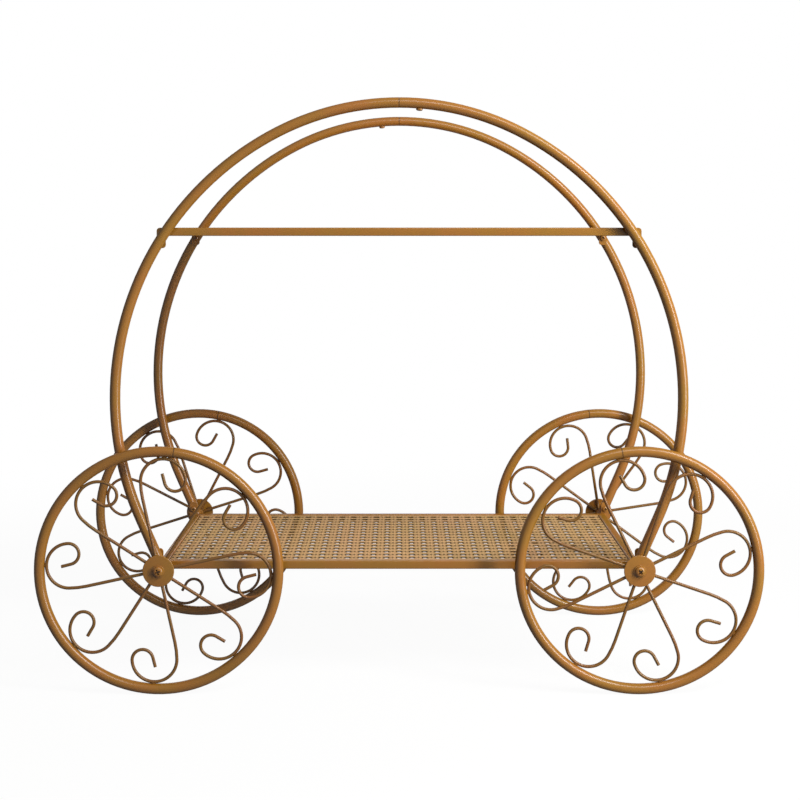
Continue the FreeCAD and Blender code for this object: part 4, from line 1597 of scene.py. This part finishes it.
@dataclass(frozen=True)
class Studio:
    """White paper floor, soft lamps and the camera at the photograph's angle, in metres."""

    softboxes: Sequence[Softbox]
    camera_spot: Triple = (0.0011, -1.8324, 0.5631)
    camera_tilt: float = 1.86
    lens_mm: float = 62.65
    sensor_mm: float = 36.0
    shift_y: float = -0.16
    paper: str = "#F4F3F0"
    bounce: str = "#605F5C"
    floor_size: float = 14.0
    floor_drop: float = 0.0002
    floor_glow: float = 0.95
    shadow_reach: float = 1.6
    ambient: float = 0.015

    def build(self) -> None:
        """Set up floor, world, lamps and camera."""
        self.floor()
        self.world()
        for box in self.softboxes:
            box.build()
        self.camera()
        bpy.context.scene.view_settings.view_transform = "Standard"

    def seen(self, tree: NodeTree) -> NodeSocket:
        """Tell rays that show the background from those that only light the stand.

        Args:
            tree: Shader tree that asks.

        Returns:
            The socket, 1 for camera, glossy and transmission rays.
        """
        path = add_node(tree, "ShaderNodeLightPath").outputs
        either = add_node(tree, "ShaderNodeMath", {0: path["Is Camera Ray"], 1: path["Is Glossy Ray"]},
                          operation="MAXIMUM")
        return add_node(tree, "ShaderNodeMath", {0: either.outputs[0], 1: path["Is Transmission Ray"]},
                        operation="MAXIMUM").outputs[0]

    def floor(self) -> None:
        """Lay white paper that keeps the stand's shadow."""
        half = self.floor_size / 2
        mesh = bpy.data.meshes.new("floor")
        mesh.from_pydata([(-half, -half, 0), (half, -half, 0), (half, half, 0), (-half, half, 0)], [],
                         [(0, 1, 2, 3)])
        floor = new_object("floor", mesh)
        floor.location.z = -self.floor_drop
        paper, tree = new_shader("white_paper")
        seen = self.seen(tree)
        tone = add_node(tree, "ShaderNodeMix", {
            MIX_FACTOR: seen, MIX_A: linear(self.bounce), MIX_B: linear(self.paper)}, data_type="RGBA")
        matt = add_node(tree, "ShaderNodeBsdfDiffuse", {"Color": tone.outputs[MIX_COLOUR]})
        glow = add_node(tree, "ShaderNodeEmission", {"Color": WHITE, "Strength": 1.0})
        spot = add_node(tree, "ShaderNodeTexCoord").outputs["Object"]
        away = add_node(tree, "ShaderNodeVectorMath", {0: spot}, operation="LENGTH")
        fade = add_node(tree, "ShaderNodeMapRange", {
            "Value": away.outputs["Value"], "From Min": self.shadow_reach / 2, "From Max": self.shadow_reach,
            "To Min": self.floor_glow, "To Max": 1.0}, interpolation_type="SMOOTHSTEP")
        share = add_node(tree, "ShaderNodeMath", {0: seen, 1: fade.outputs["Result"]}, operation="MULTIPLY")
        mixed = add_node(tree, "ShaderNodeMixShader", {
            0: share.outputs[0], 1: matt.outputs[0], 2: glow.outputs[0]})
        add_node(tree, "ShaderNodeOutputMaterial", {"Surface": mixed.outputs[0]})
        mesh.materials.append(paper)

    def world(self) -> None:
        """Make the room white to look at and dimmer as a light."""
        world = bpy.data.worlds.new("white_room")
        world.use_nodes = True
        tree = world.node_tree
        tree.nodes.clear()
        strength = add_node(tree, "ShaderNodeMapRange", {
            "Value": self.seen(tree), "To Min": self.ambient, "To Max": 1.0})
        room = add_node(tree, "ShaderNodeBackground", {
            "Color": WHITE, "Strength": strength.outputs["Result"]})
        add_node(tree, "ShaderNodeOutputWorld", {"Surface": room.outputs[0]})
        bpy.context.scene.world = world

    def camera(self) -> None:
        """Set the camera up as the photograph was taken, almost level and shifted down."""
        lens = bpy.data.cameras.new("photo_camera")
        lens.sensor_width = self.sensor_mm
        lens.lens = self.lens_mm
        lens.shift_y = self.shift_y
        camera = bpy.data.objects.new("photo_camera", lens)
        camera.location = self.camera_spot
        camera.rotation_euler = (math.radians(90 - self.camera_tilt), 0, 0)
        bpy.context.scene.collection.objects.link(camera)
        bpy.context.scene.camera = camera


STUDIO = Studio((
    Softbox("key_right", (1.6, -1.15, 1.0), (0, 0, 0.4), 0.4, 2.4, 76.0),
    Softbox("strip_top", (0.7, -1.3, 1.75), (0, 0, 0.45), 1.8, 0.3, 24.0),
    Softbox("fill_back", (-0.5, 2.8, 1.2), (0, 0, 0.3), 2.4, 1.6, 40.0),
))

# Turn of each wheel, and where its rim is welded shut, in degrees seen from outside
WHEEL_TURNS = {
    (Face.FRONT, Side.LEFT): (12.3, 82.4),
    (Face.FRONT, Side.RIGHT): (26.3, 98.7),
    (Face.BACK, Side.LEFT): (27.3, 101.0),
    (Face.BACK, Side.RIGHT): (36.3, 84.0),
}


def tab_screw_place(tier: Tier) -> Pair:
    """Find a tray's tab screws in the frame.

    Args:
        tier: The tray.

    Returns:
        Distance of the screws from the middle, and their height, in millimetres.
    """
    low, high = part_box(f"{tier.word}_tab_inserts")
    radius = (high.z - low.z) / 2
    return (high.x - radius) / MM, (low.z + high.z) / 2 / MM


def main() -> None:
    """Build every sub-assembly in order, dress it and set up the studio."""
    logging.basicConfig(level=logging.INFO, format="%(name)s: %(message)s")
    hubs = {joint["child"]: Vector(joint["pos_m"]) / MM for joint in frame["joints"]}
    wheels = []
    for (face, side), (phase, seam_angle) in WHEEL_TURNS.items():
        wheels.append(Wheel(face, side, hubs[f"wheel_{face.word}_{side.word}"], phase, seam_angle))
    first = wheels[0].hub
    parts = [Hoops(abs(first.x), first.z), *wheels, Axles([(wheel.face, wheel.hub) for wheel in wheels])]
    parts += [Tray(tier, *tab_screw_place(tier)) for tier in Tier]
    for part in parts:
        part.build()
        part.dress()
    hidden = ["crown_sleeves", "deck_tab_inserts", "shelf_tab_inserts"]
    HiddenMetal(hidden + [f"{wheel.name}_bush" for wheel in wheels]).dress()
    STUDIO.build()


if __name__ == "__main__":
    main()
